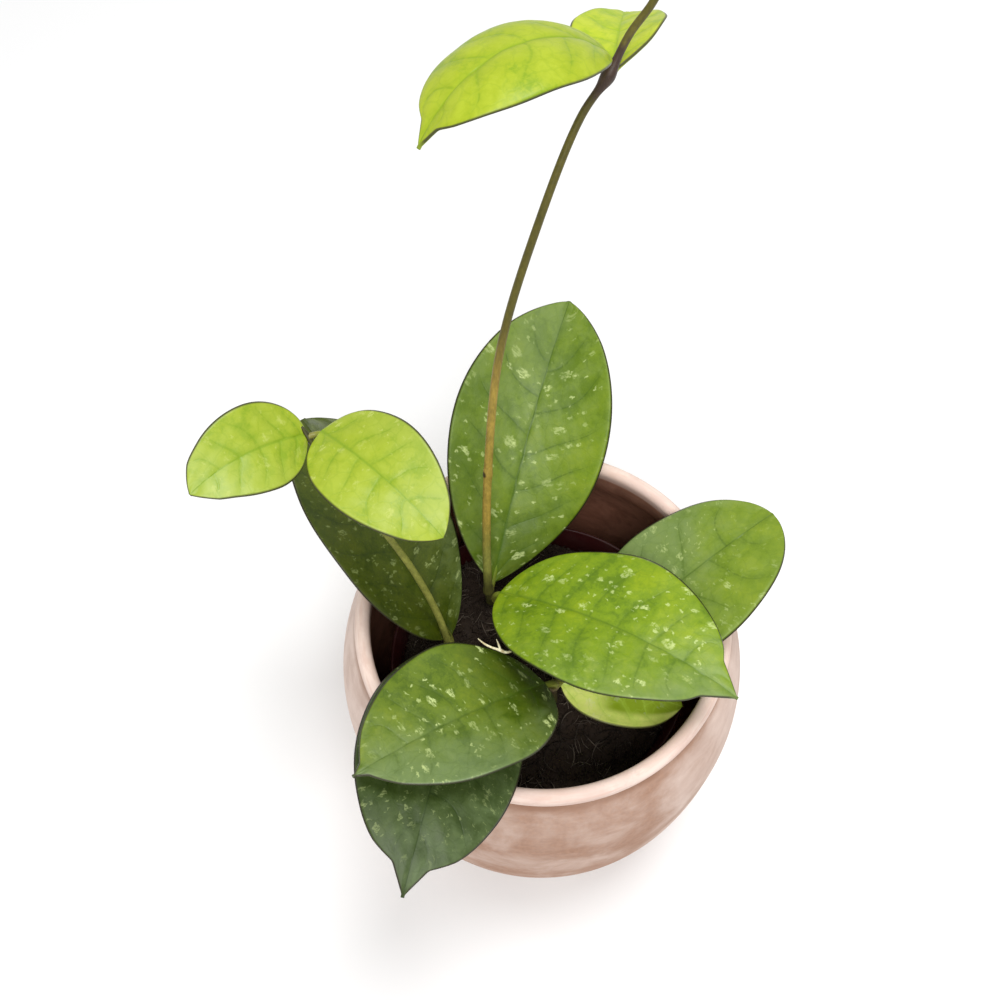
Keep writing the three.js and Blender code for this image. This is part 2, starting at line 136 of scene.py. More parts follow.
STEMS = {
    "vine_stem": dict(
        points=[(-15, 19.4, 38), (-14.8, 19.4, 58), VINE_FOOT_NODE, (-15, 17.2, 85),
                (-14.7, 22, 98), VINE_SCAR, (-9, 45.2, 155), (1, 58.4, 186), (10.4, 70.8, 204),
                VINE_TOP_NODE, (20.4, 78.4, 218.5), (25.2, 80.6, 225), (30.5, 84.5, 238),
                (32.4, 87.8, 251.6)],
        radii=(1.35, 0.8), tip=16,
        nodes=[(VINE_FOOT_NODE, 0.5, 2.5), (VINE_TOP_NODE, 0.75, 2.4), (VINE_SCAR, 0.2, 1.6)]),
    "shoot_stem": dict(
        points=[(-25.4, -4, 38), (-25.4, -4, 58), SHOOT_FOOT_NODE, (-29.3, 3.2, 88),
                (-35.6, 10.4, 106), (-48.9, 21.3, 130), SHOOT_TOP_NODE, (-59.5, 32.5, 143.4)],
        radii=(1.15, 0.8), tip=4,
        nodes=[(SHOOT_FOOT_NODE, 0.7, 3), (SHOOT_TOP_NODE, 0.15, 2)]),
    "front_cutting_stem": dict(
        points=[(3, -12.5, 38), (3, -13, 58), (2.6, -15, 72), FRONT_NODE, (2.4, -18.3, 87)],
        radii=(1.5, 1.2), tip=2, nodes=[(FRONT_NODE, 0.5, 2.5)]),
    "middle_cutting_stem": dict(
        points=[(-7, 8, 38), (-7, 8, 58), (-10.5, 8.6, 74), MIDDLE_NODE, (-12.8, 7.6, 89.5)],
        radii=(1.4, 1.1), tip=2, nodes=[(MIDDLE_NODE, 0.4, 2.5)]),
}

# Dry pale root that forks in front of the middle cutting
ROOTS = {
    "pale_root": dict(
        points=[(-12.4, 7.8, 86.5), (-10, 2, 90.5), (-7.8, -5, 94.8), (-7.8, -11.2, 98.2),
                (-10.2, -13, 99.5), (-12.1, -12.6, 100.3), (-14.5, -11.9, 101), (-16.3, -10.9, 101.3),
                (-17.8, -9.4, 101)],
        radii=(0.55, 0.26), tip=3, nodes=[((-11.6, -12.7, 100.1), 0.14, 1.2)]),
    "pale_root_fork": dict(
        points=[(-11.9, -12.6, 100.2), (-12.3, -11.3, 100.6), (-12.9, -9.5, 100.4)],
        radii=(0.34, 0.2), tip=2, nodes=[]),
}

# Blade section and side vein in millimetres, the waves along an edge, the least acumen that counts
# as a drawn-out tip, and how much closer the strips lie at the edge
BLADE_MIDDLE = 1.3
BLADE_EDGE = 0.7
BLADE_BASE_HALF = 0.9
BLADE_TIP_HALF = 0.45
WAVE_COUNT = 2.5
DRAWN_OUT = 0.1
EDGE_CROWDING = 1.35
VEIN_WIDTH = 0.9

# How far a stalk reaches into its blade, as a share of the blade, and the stretch of the flat
# pattern that it takes up
STALK_REACH = 0.09
STALK_LENGTH = 6

# Places on a blade are kept in its texture coordinates divided by these
FLAT_SCALE = 100
PHASE_SCALE = 10

# Leaves: place and form as in the part, then their colour group and pattern.
# veins is the number of side veins in a full length. sweep and bow say how far and how late they
# lean to the tip, and offset how far the two sides' veins stand apart.
# splash is how strong the silvery flecks are, and fineness how short they are along the blade and
# across it. bloom is how much the grey waxy bloom, with painted sheen of reflected light, grows along
# the blade and to its left side, and its level at the base. shade is how much painted shade darkens
# the blade at its base.
LEAVES = [
    dict(name="leaf_back_large", node=VINE_FOOT_NODE, base=(-13.6, 18.4, 75.2),
         length=88.5, width=47, heading=72, pitch=41.5, sag=-19.5, tip_sag=-6, turn=-4.5, roll=12,
         twist=-28, cup=0.37, fold=0.07, rise=0.81, fall=0.71, acumen=0.03, point=1.5, wave=0.5,
         stalk=1.3, group="green", veins=7, sweep=0.2, bow=1.3, offset=0.3, splash=0.9,
         fineness=(0.9, 0.8), bloom_and_sheen=(0.2, 0.1, 0.25), shade=0.5),
    dict(name="leaf_left_dark", node=SHOOT_FOOT_NODE, base=(-26.4, 1, 77.6),
         length=77.5, width=42, heading=128.5, pitch=41.5, sag=-18, tip_sag=-9, turn=-2.5, roll=21.5,
         twist=-14, cup=0.33, fold=0.1, rise=0.62, fall=0.64, acumen=0.05, point=2.2, wave=0.4,
         stalk=1.2, group="deep", veins=6.5, sweep=0.18, bow=1.4, offset=0.4, splash=0.32,
         fineness=(1.3, 1.2), bloom_and_sheen=(-0.2, -0.5, 0.05), shade=0.2),
    dict(name="leaf_shoot_left", node=SHOOT_TOP_NODE, base=(-58.8, 31.6, 141),
         length=35.5, width=22.4, heading=217.5, pitch=37, sag=-35.5, tip_sag=-13, turn=8, roll=-29.5,
         twist=16.5, cup=0.22, fold=0.06, rise=0.6, fall=0.77, acumen=0.03, point=2.5, wave=0.3,
         stalk=0.8, group="lime", veins=6, sweep=0.16, bow=1.4, offset=0.15, splash=0.6,
         fineness=(1.3, 1), bloom_and_sheen=(0.6, 0.15, 0.3), shade=0),
    dict(name="leaf_shoot_right", node=SHOOT_TOP_NODE, base=(-54.5, 31.5, 142),
         length=45.5, width=27.7, heading=-46.5, pitch=25.5, sag=-49, tip_sag=-7, turn=1.5, roll=6,
         twist=1, cup=0.26, fold=0.07, rise=0.59, fall=0.71, acumen=0.03, point=1.9, wave=0.3,
         stalk=0.8, group="lime", veins=6, sweep=0.15, bow=1.4, offset=0.3, splash=1,
         fineness=(1.4, 1.2), bloom_and_sheen=(0.4, 0.55, 0.1), shade=0),
    dict(name="leaf_vine_left", node=VINE_TOP_NODE, base=(15.5, 76.2, 215.3),
         length=54.8, width=31.3, heading=205, pitch=48.3, sag=-86, tip_sag=-7, turn=22, roll=12,
         twist=20, cup=-0.74, fold=0.16, rise=0.71, fall=0.59, acumen=0.18, point=2.2, wave=0.2,
         stalk=0.8, group="young", veins=5.5, sweep=0.2, bow=1.3, offset=0.3, splash=0.15,
         fineness=(1, 1), bloom_and_sheen=(0, 0.2, -0.1), shade=0),
    dict(name="leaf_vine_back", node=VINE_TOP_NODE, base=(17.4, 76.2, 211.2),
         length=35.3, width=21.6, heading=81, pitch=-5.5, sag=-25, tip_sag=0, turn=-4, roll=-10,
         twist=19, cup=0.06, fold=0.2, rise=0.68, fall=0.68, acumen=0.08, point=2.1, wave=0.2,
         stalk=0.8, group="newest", veins=5, sweep=0.2, bow=1.3, offset=0.3, splash=0.1,
         fineness=(1, 1), bloom_and_sheen=(0, 0, 0), shade=0),
    dict(name="leaf_middle_bright", node=MIDDLE_NODE, base=(-11.3, 6.6, 93.4),
         length=73.4, width=45.2, heading=-27.5, pitch=32, sag=-31, tip_sag=-6, turn=-12.5, roll=-11,
         twist=1.5, cup=-0.03, fold=0.14, rise=0.58, fall=0.54, acumen=0.21, point=2.6, wave=0.5,
         stalk=1.3, group="bright", veins=8.5, sweep=0.1, bow=1.7, offset=0.05, splash=0.85,
         fineness=(0.75, 1.6), bloom_and_sheen=(0.95, -0.3, -0.3), shade=0.1),
    dict(name="leaf_right", node=FRONT_NODE, base=(6.8, -13.1, 80.7),
         length=73.7, width=43.8, heading=29.3, pitch=35, sag=-23, tip_sag=-12, turn=3.5, roll=-18,
         twist=12, cup=-0.13, fold=0.05, rise=0.59, fall=0.55, acumen=0.01, point=1.1, wave=0.4,
         stalk=1.3, group="blue", veins=6, sweep=0.16, bow=1.5, offset=0.35, splash=0.42,
         fineness=(1.3, 1.3), bloom_and_sheen=(-1.5, 0.35, 1.5), shade=0),
    dict(name="leaf_front_upper", node=FRONT_NODE, base=(-0.5, -20.5, 94),
         length=60.5, width=40, heading=207.5, pitch=31, sag=-16, tip_sag=3, turn=8, roll=9,
         twist=-6, cup=0.26, fold=0.1, rise=0.58, fall=0.7, acumen=0.1, point=2, wave=0.5,
         stalk=1.2, group="front", veins=7, sweep=0.16, bow=1.5, offset=0.35, splash=1,
         fineness=(1.35, 0.95), bloom_and_sheen=(0.9, 0.5, -0.1), shade=0.9),
    dict(name="leaf_front_lower", node=SHOOT_FOOT_NODE, base=(-21.3, -3.7, 79.9),
         length=82, width=43.2, heading=-98.6, pitch=43.7, sag=-39.5, tip_sag=-2.4, turn=-6, roll=-12,
         twist=1, cup=-0.29, fold=0.07, rise=0.66, fall=0.55, acumen=0.17, point=2.4, wave=0.4,
         stalk=1.2, group="teal", veins=6.5, sweep=0.18, bow=1.4, offset=0.35, splash=0.27,
         fineness=(2.1, 1.9), bloom_and_sheen=(0.3, 0.1, 0.1), shade=0.4),
    dict(name="leaf_young_curled", node=FRONT_NODE, base=(4.7, -15, 77.4),
         length=37, width=22, heading=-8, pitch=1.7, sag=-24, tip_sag=-6.5, turn=-2, roll=15,
         twist=6, cup=0.81, fold=0.06, rise=0.65, fall=0.76, acumen=0.04, point=0.9, wave=0.2,
         stalk=0.8, group="pale", veins=5, sweep=0.16, bow=1.4, offset=0.3, splash=0.2,
         fineness=(1, 1), bloom_and_sheen=(0, -0.2, 0), shade=0),
]

# Colour groups of leaves: their colour slot, and how glossy, veined and mottled they are
GROUPS = {
    "green": dict(slot="leaf_green", gloss=0.33, veined=1.25, mottled=0.75),
    "front": dict(slot="leaf_green", gloss=0.42, veined=0.65, mottled=1),
    "bright": dict(slot="leaf_green", gloss=0.42, veined=0.85, mottled=1),
    "blue": dict(slot="leaf_green", gloss=0.35, veined=1, mottled=0.65),
    "deep": dict(slot="leaf_dark", gloss=0.38, veined=0.8, mottled=1),
    "teal": dict(slot="leaf_dark", gloss=0.27, veined=0.8, mottled=0.5),
    "lime": dict(slot="leaf_lime", gloss=0.42, veined=1.3, mottled=0.75),
    "young": dict(slot="leaf_lime", gloss=0.36, veined=1.3, mottled=0.9),
    "newest": dict(slot="leaf_lime", gloss=0.36, veined=1.2, mottled=0.8),
    "pale": dict(slot="leaf_lime", gloss=0.4, veined=0.8, mottled=0.4),
}

# Camera of the photograph, in millimetres and degrees
CAMERA_PLACE = (-10.5, -113.83, 369.82)
CAMERA_DOWN = 61.45
CAMERA_ROLL = -2.2
CAMERA_LENS = 38.59
CAMERA_SENSOR = 36

# Linear colours that a user wouldn't change
POT_DUST = (0.09, 0.06, 0.05)
DARK_SOIL = (0.035, 0.022, 0.014)
SOIL_GRAINS = (0.06, 0.05, 0.042)
DARK_FIBRE = (0.02, 0.014, 0.01)
PALE_FIBRE = (0.17, 0.135, 0.105)
SCAR_BROWN = (0.02, 0.013, 0.006)
FLOOR_WHITE = (0.9, 0.9, 0.9)

# Floor and light, in metres and watts
FLOOR_REACH = 3.0
WORLD_STRENGTH = 0.52
LIGHT_AIM = (0, 0, 0.08)
LIGHTS = {
    "key": dict(place=(0.18, 0.18, 1.25), size=0.5, power=7),
    "fill": dict(place=(0.05, -0.65, 1.25), size=0.55, power=9),
}


# Colours and sizes


def linear(red, green, blue):
    """Blender's linear colour from one as it looks on a screen."""
    shares = (red / 255, green / 255, blue / 255)
    return tuple(c / 12.92 if c <= 0.04045 else ((c + 0.055) / 1.055) ** 2.4 for c in shares)


def scaled(colour, *factors):
    return tuple(min(1.0, c * f) for c, f in zip(colour, factors))


def toned(colour, strength, factors):
    """Colour moved by a share of the way to its product with the factors."""
    return scaled(colour, *(max(0, 1 + (factor - 1) * strength) for factor in factors))


def colour_property(name, description, red, green, blue):
    return FloatVectorProperty(name=name, description=description, subtype="COLOR", size=3,
                               min=0, max=1, default=linear(red, green, blue))


def count_property(name, description, count, least=0):
    return IntProperty(name=name, description=description, default=count, min=least)


def length_property(name, description, millimetres):
    return FloatProperty(name=name, description=description, default=millimetres * MM,
                         unit="LENGTH")


class HoyaColours(bpy.types.PropertyGroup):
    """Colours of the plant and its pots."""

    leaf_green: colour_property("Grown leaf", "Grown splashed leaf", 110, 135, 20)
    leaf_front: colour_property("Front leaf", "Grown leaf at the pot's front", 96, 118, 16)
    # Shaded leaf: grown green painted darker, partly as shade from the leaves above
    leaf_deep: colour_property("Shaded leaf", "Grown leaf low on the shoot", 71, 84, 8)
    leaf_bright: colour_property("Bright leaf", "Leaf in the middle of the pile", 119, 147, 8)
    leaf_blue: colour_property("Greyish leaf", "Leaf with a greyish bloom", 112, 136, 28)
    leaf_teal: colour_property("Bluish leaf", "Lowest leaf, bluish green", 60, 76, 32)
    leaf_lime: colour_property("Lime leaf", "Young pair on the shoot", 154, 172, 38)
    leaf_young: colour_property("Newest leaf", "Young pair on the vine", 157, 174, 28)
    # Vine's back leaf: a paler lime, partly painted light on this leaf
    leaf_newest: colour_property("Vine's back leaf", "Smaller leaf on the vine", 180, 195, 42)
    # Curled leaf's pale lime, pushed to full brightness partly as painted light under the middle leaf
    leaf_pale: colour_property("Curled leaf", "Small curled leaf", 243, 255, 134)
    splash: colour_property("Splash", "Silvery flecks on the leaves", 210, 225, 150)
    # Grey bloom of grown leaves, standing in partly for painted sheen of reflected light
    bloom_and_sheen: colour_property("Bloom", "Greyish wax on grown leaves", 120, 140, 94)
    margin: colour_property("Leaf edge", "Thin dark line round a blade", 50, 44, 34)
    stem_green: colour_property("Stem", "Olive stem", 140, 142, 68)
    stem_tan: colour_property("Tan stem", "Stretch of the vine that has turned tan", 170, 144, 66)
    stem_dark: colour_property("Stem top", "Dark stem towards the vine's tip", 93, 86, 26)
    terracotta: colour_property("Terracotta", "Clay under the wash", 176, 138, 116)
    whitewash: colour_property("Whitewash", "Thin wash on the pot", 224, 202, 190)
    lip_wash: colour_property("Lip", "Thick wash on the pot's lip", 237, 215, 203)
    plastic: colour_property("Nursery pot", "Reddish black plastic", 56, 16, 16)
    soil: colour_property("Soil", "Dark potting mix", 46, 35, 26)
    root: colour_property("Root", "Pale dry root", 244, 238, 204)


class HoyaSizes(bpy.types.PropertyGroup):
    """Sizes of the fine detail that the plain solids leave out."""

    pot_sides: count_property("Pot sides", "Faces round the pot", 192, 48)
    stem_sides: count_property("Stem sides", "Faces round a stem", 20, 8)
    root_sides: count_property("Root sides", "Faces round a root", 10, 6)
    leaf_rows: count_property("Leaf rows", "Rows along a blade", 128, 24)
    leaf_strips: count_property("Leaf strips", "Strips across a blade", 60, 12)
    rib_groove: length_property("Midrib groove", "Depth of the midrib's groove", 0.12)
    vein_groove: length_property("Vein groove", "Depth of the side veins' grooves", 0.04)
    rib_height: length_property("Midrib height", "Midrib's height under the blade", 0.55)
    pucker: length_property("Pucker", "Height of the blade's soft unevenness", 0.16)
    crumb: length_property("Crumb", "Radius of a common soil crumb", 0.85)
    crumbs: count_property("Crumb density", "Crumbs on a square metre", 480000)
    fibres: count_property("Fibre density", "Fibres on a square metre", 130000)
    fibre_length: length_property("Fibre", "Length of a common soil fibre", 6)


# Node trees


class Nodes:
    """Adds nodes to a tree: a socket given as an input is linked, and any other value is set."""

    def __init__(self, tree):
        self.tree = tree

    def add(self, kind, inputs=None, **settings):
        node = self.tree.nodes.new(kind)
        for setting, value in settings.items():
            setattr(node, setting, value)
        for socket, value in (inputs or {}).items():
            self.feed(node.inputs[socket], value)
        return node

    def feed(self, socket, value):
        if isinstance(value, bpy.types.NodeSocket):
            self.tree.links.new(value, socket)
        else:
            socket.default_value = value

    def math(self, operation, first, second=0.0, third=0.0):
        inputs = {0: first, 1: second, 2: third}
        return self.add("ShaderNodeMath", inputs, operation=operation).outputs[0]

    def times(self, first, *others):
        """Product of values."""
        for other in others:
            first = self.math("MULTIPLY", first, other)
        return first

    def times_plus(self, value, factor, added):
        return self.math("MULTIPLY_ADD", value, factor, added)

    def centred(self, value):
        return self.math("SUBTRACT", value, 0.5)

    def vector(self, operation, first, second=(0, 0, 0), third=(0, 0, 0)):
        inputs = {0: first, 1: second}
        if operation == "MULTIPLY_ADD":
            inputs[2] = third
        return self.add("ShaderNodeVectorMath", inputs, operation=operation).outputs[0]

    def stretch(self, vector, factors):
        return self.vector("MULTIPLY", vector, factors)

    def axes(self, vector):
        return self.add("ShaderNodeSeparateXYZ", {0: vector}).outputs

    def join(self, x, y, z):
        """Vector of three values."""
        return self.add("ShaderNodeCombineXYZ", {"X": x, "Y": y, "Z": z}).outputs[0]

    def random(self, low, high):
        """A random value between two numbers, or a random triple between two triples."""
        kind, output = ("FLOAT_VECTOR", 0) if isinstance(low, tuple) else ("FLOAT", 1)
        node = self.add("FunctionNodeRandomValue", {"Min": low, "Max": high}, data_type=kind)
        return node.outputs[output]

    def span(self, value, low, high, start=0.0, end=1.0):
        """Value moved smoothly from start to end as it goes from low to high."""
        inputs = {"Value": value, "From Min": low, "From Max": high, "To Min": start, "To Max": end}
        node = self.add("ShaderNodeMapRange", inputs, interpolation_type="SMOOTHSTEP")
        return node.outputs[0]


class Surface(Nodes):
    """A material under construction, with the textures that the finishes share."""

    def __init__(self, name):
        self.material = bpy.data.materials.new(name)
        self.material.use_nodes = True
        super().__init__(self.material.node_tree)
        self.tree.nodes.clear()

    def mix(self, share, first, second, blend="MIX"):
        node = self.add("ShaderNodeMix", data_type="RGBA", blend_type=blend)
        self.feed(node.inputs["Factor"], share)
        for socket, value in zip((node.inputs[6], node.inputs[7]), (first, second)):
            solid = value if isinstance(value, bpy.types.NodeSocket) else (*value[:3], 1)
            self.feed(socket, solid)
        return node.outputs[2]

    def blend(self, value, low, high, first, second):
        """Passes from the first colour to the second as a value goes from low to high."""
        return self.mix(self.span(value, low, high), first, second)

    def noise(self, vector, scale, detail=2.0, roughness=0.5, distortion=0.0):
        inputs = {"Vector": vector, "Scale": scale, "Detail": detail, "Roughness": roughness,
                  "Distortion": distortion}
        return self.add("ShaderNodeTexNoise", inputs).outputs["Fac"]

    def cells(self, vector, scale, **settings):
        return self.add("ShaderNodeTexVoronoi", {"Vector": vector, "Scale": scale}, **settings)

    def random_spots(self, vector, share, size, softness):
        """Spots in some of the unit cells of a plane: 1 inside a spot and 0 outside."""
        cell = self.cells(vector, 1.0, voronoi_dimensions="2D")
        draw = self.axes(cell.outputs["Color"])
        radius = self.times(self.span(draw["X"], 1 - share, 1, 0, 1), size)
        beyond = self.math("SUBTRACT", cell.outputs["Distance"], radius)
        return self.span(beyond, -softness, softness * 0.3, 1, 0)

    def bump(self, height, distance, strength=1.0, normal=None):
        inputs = {"Height": height, "Distance": distance, "Strength": strength}
        if normal is not None:
            inputs["Normal"] = normal
        return self.add("ShaderNodeBump", inputs).outputs[0]

    def length(self, vector):
        node = self.add("ShaderNodeVectorMath", {0: vector}, operation="LENGTH")
        return node.outputs["Value"]

    def attribute(self, name):
        return self.add("ShaderNodeAttribute", attribute_name=name).outputs["Fac"]

    def place(self):
        return self.add("ShaderNodeTexCoord").outputs["Object"]

    def finish(self, colour, roughness, normal=None, **constants):
        """Ends the material in a Principled shader; constants are set on its own sockets."""
        inputs = {"Base Color": colour, "Roughness": roughness}
        if normal is not None:
            inputs["Normal"] = normal
        shader = self.add("ShaderNodeBsdfPrincipled", inputs)
        for socket, value in constants.items():
            shader.inputs[socket.replace("_", " ")].default_value = value
        self.add("ShaderNodeOutputMaterial", {"Surface": shader.outputs[0]})
        return self.material


# Meshes


def link_object(name, data):
    piece = bpy.data.objects.new(name, data)
    bpy.context.scene.collection.objects.link(piece)
    return piece


def new_object(name, vertices, faces, smooth=True):
    mesh = bpy.data.meshes.new(name)
    mesh.from_pydata([tuple(v) for v in vertices], [], [tuple(f) for f in faces])
    mesh.update()
    if smooth:
        mesh.shade_smooth()
    else:
        mesh.shade_flat()
    return link_object(name, mesh)


def mark_points(mesh, name, values):
    """Writes one value a point onto a mesh."""
    attribute = mesh.attributes.new(name, "FLOAT", "POINT")
    attribute.data.foreach_set("value", np.asarray(values, np.float32))


def read_values(items, name, kind, width=1):
    """One property of all vertices, corners or faces of a mesh."""
    values = np.zeros(width * len(items), kind)
    items.foreach_get(name, values)
    return values


def polyline(name, points, radii=None):
    """A mesh of joined points, in metres, for a node tree to follow."""
    mesh = bpy.data.meshes.new(name)
    edges = [(i, i + 1) for i in range(len(points) - 1)]
    mesh.from_pydata([tuple(p) for p in points], edges, [])
    if radii is not None:
        mark_points(mesh, "radius", radii)
    return link_object(name, mesh)


def turn_outwards(mesh):
    shape = bmesh.new()
    shape.from_mesh(mesh)
    bmesh.ops.recalc_face_normals(shape, faces=shape.faces)
    shape.to_mesh(mesh)
    shape.free()


def grow(piece, tree, **values):
    """Runs a node tree on a piece with its named inputs, and leaves a plain mesh behind."""
    modifier = piece.modifiers.new("grow", "NODES")
    modifier.node_group = tree
    for item in tree.interface.items_tree:
        if item.item_type == "SOCKET" and item.in_out == "INPUT" and item.name in values:
            modifier[item.identifier] = values[item.name]
    graph = bpy.context.evaluated_depsgraph_get()
    mesh = bpy.data.meshes.new_from_object(piece.evaluated_get(graph), depsgraph=graph)
    piece.modifiers.remove(modifier)
    piece.data = mesh
    mesh.name = piece.name
    return piece


def new_tree(name, *sockets):
    """A geometry tree with a Geometry input and output and the named inputs after it."""
    tree = bpy.data.node_groups.new(name, "GeometryNodeTree")
    tree.interface.new_socket("Geometry", in_out="INPUT", socket_type="NodeSocketGeometry")
    tree.interface.new_socket("Geometry", in_out="OUTPUT", socket_type="NodeSocketGeometry")
    for label, kind in sockets:
        tree.interface.new_socket(label, in_out="INPUT", socket_type=kind)
    nodes = Nodes(tree)
    return tree, nodes, nodes.add("NodeGroupInput").outputs


def end_tree(nodes, geometry, material):
    """Realizes what the tree made, smooths it and gives it its material."""
    real = nodes.add("GeometryNodeRealizeInstances", {"Geometry": geometry}).outputs[0]
    smooth = nodes.add("GeometryNodeSetShadeSmooth", {"Geometry": real}).outputs[0]
    painted = nodes.add("GeometryNodeSetMaterial", {"Geometry": smooth, "Material": material})
    nodes.add("NodeGroupOutput", {"Geometry": painted.outputs[0]})


def settle(piece, slot, *replaced):
    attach(piece, "root")
    if replaced:
        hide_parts(*replaced)


# Pots


def body_radius(z):
    """Outer radius of the pot's body at a height, below the lip."""
    if z < POT_BELLY_HEIGHT:
        depth = (POT_BELLY_HEIGHT - z) / POT_BELLY_HEIGHT
        fullness = (1 - depth ** POT_LOWER_FULLNESS) ** (1 / POT_LOWER_FULLNESS)
        return POT_FOOT_RADIUS + (POT_BELLY_RADIUS - POT_FOOT_RADIUS) * fullness
    share = (z - POT_BELLY_HEIGHT) / (POT_GROOVE_HEIGHT - POT_BELLY_HEIGHT)
    bulge = math.cos(share * math.pi / 2) ** POT_UPPER_FULLNESS
    return POT_NECK_RADIUS + (POT_BELLY_RADIUS - POT_NECK_RADIUS) * bulge


def rounded_rim(middle, top, radius, steps):
    """Half circle over a rim, from its outer side to its inner side."""
    angles = np.linspace(0, math.pi, steps)
    return [(middle + radius * math.cos(a), top - radius + radius * math.sin(a)) for a in angles]


def pot_profile():
    """Profile of the pot from the middle of its foot, over the lip, to the middle of its floor."""
    groove = POT_GROOVE_HEIGHT
    low = [(body_radius(z), z) for z in POT_FOOT_ROUNDING]
    high = [(body_radius(z), z) for z in np.linspace(9.5, groove - 2, POT_WALL_RINGS)]
    under_lip = [(POT_NECK_RADIUS, groove - 1), (POT_NECK_RADIUS - 0.25, groove - 0.3),
                 (POT_NECK_RADIUS - 0.2, groove + 0.1), (POT_LIP_RADIUS - 0.45, groove + 0.5),
                 (POT_LIP_RADIUS - 0.08, groove + 1.2), (POT_LIP_RADIUS, groove + 2.2)]
    lip_radius = (POT_LIP_RADIUS - POT_MOUTH_RADIUS) / 2
    lip = rounded_rim(POT_MOUTH_RADIUS + lip_radius, POT_HEIGHT, lip_radius, POT_LIP_STEPS)
    throat = [(POT_MOUTH_RADIUS, groove + 1.5), (POT_MOUTH_RADIUS, groove)]
    inner = [(body_radius(z) - POT_WALL, z) for z in np.linspace(84, 15, POT_INNER_RINGS)]
    floor = [(POT_INNER_FLOOR_RADIUS + POT_INNER_CORNER, POT_FLOOR + 2.5),
             (POT_INNER_FLOOR_RADIUS, POT_FLOOR)]
    return [(0, 0), (POT_FOOT_RADIUS / 2, 0), *low, *high, *under_lip, *lip, *throat, *inner,
            *floor, (0, POT_FLOOR)]


def turning_tree(material):
    """Turns a profile in the XZ plane about the Z axis."""
    tree, nodes, given = new_tree("Turn a profile", ("Sides", "NodeSocketInt"))
    profile = given["Geometry"]
    size = nodes.add("GeometryNodeAttributeDomainSize", {"Geometry": profile})
    count = size.outputs["Point Count"]
    round_count = nodes.math("ADD", given["Sides"], 1)
    grid = nodes.add("GeometryNodeMeshGrid", {"Vertices X": count, "Vertices Y": round_count})
    index = nodes.add("GeometryNodeInputIndex").outputs[0]
    station = nodes.math("FLOOR", nodes.math("DIVIDE", nodes.math("ADD", index, 0.5), round_count))
    step = nodes.math("SUBTRACT", index, nodes.times(station, round_count))
    angle = nodes.math("DIVIDE", nodes.times(step, 2 * math.pi), given["Sides"])
    place = nodes.add("GeometryNodeInputPosition").outputs[0]
    sample = nodes.add("GeometryNodeSampleIndex", data_type="FLOAT_VECTOR", domain="POINT")
    nodes.feed(sample.inputs["Geometry"], profile)
    nodes.feed(sample.inputs["Value"], place)
    nodes.feed(sample.inputs["Index"], station)
    split = nodes.axes(sample.outputs[0])
    turned = nodes.join(nodes.times(split["X"], nodes.math("COSINE", angle)),
                        nodes.times(split["X"], nodes.math("SINE", angle)), split["Z"])
    placed = nodes.add("GeometryNodeSetPosition", {"Geometry": grid.outputs[0],
                                                   "Position": turned})
    closed = nodes.add("GeometryNodeMergeByDistance", {"Geometry": placed.outputs[0],
                                                       "Distance": WELD * MM})
    end_tree(nodes, closed.outputs[0], material)
    return tree


def turned_piece(name, profile, sides, material):
    points = [(r * MM, 0, z * MM) for r, z in profile]
    piece = grow(polyline(name, points), turning_tree(material), Sides=sides)
    turn_outwards(piece.data)
    return piece


def clay_wash(surface, across, patches, strokes, grain, brushed):
    """How much wash lies on the clay: patches, strokes and brush marks, with painted light that
    raises it towards the left and right flanks.
    """
    wash = surface.times_plus(patches, 0.72, surface.times(strokes, 0.22))
    wash = surface.times_plus(brushed, 0.06, wash)
    wash = surface.times_plus(surface.centred(grain), 0.1, wash)
    # Painted light: paler towards the left and right flanks
    outward = surface.math("ABSOLUTE", across)
    flank_painted_light = surface.span(outward, 20 * MM, POT_BELLY_RADIUS * MM, 0, 0.28)
    return surface.span(surface.math("ADD", wash, flank_painted_light), 0.34, 0.8, 0.04, 1)


def lip_tone(surface, wash, radius, patches, brushed):
    """Thick wash on the lip, darker in patches towards the mouth and streaked by the brush."""
    outwardness = surface.times_plus(patches, 20 * MM, radius)
    tone = surface.blend(outwardness, 58.5 * MM, 63.5 * MM, scaled(wash, 0.86, 0.82, 0.82), wash)
    streak = surface.span(brushed, 0.42, 0.66, 0, 0.75)
    return surface.mix(streak, tone, scaled(wash, 0.84, 0.75, 0.72))


def groove_shade(surface, height, strokes):
    """Painted shade in the groove under the lip, broken up by the brush strokes."""
    groove = POT_GROOVE_HEIGHT * MM
    below = surface.span(height, groove - 5 * MM, groove - 0.4 * MM, 0, 0.85)
    above = surface.span(height, groove, groove + 1.2 * MM, 1, 0)
    return surface.times(below, above, surface.span(strokes, 0.25, 0.6, 0.3, 1))


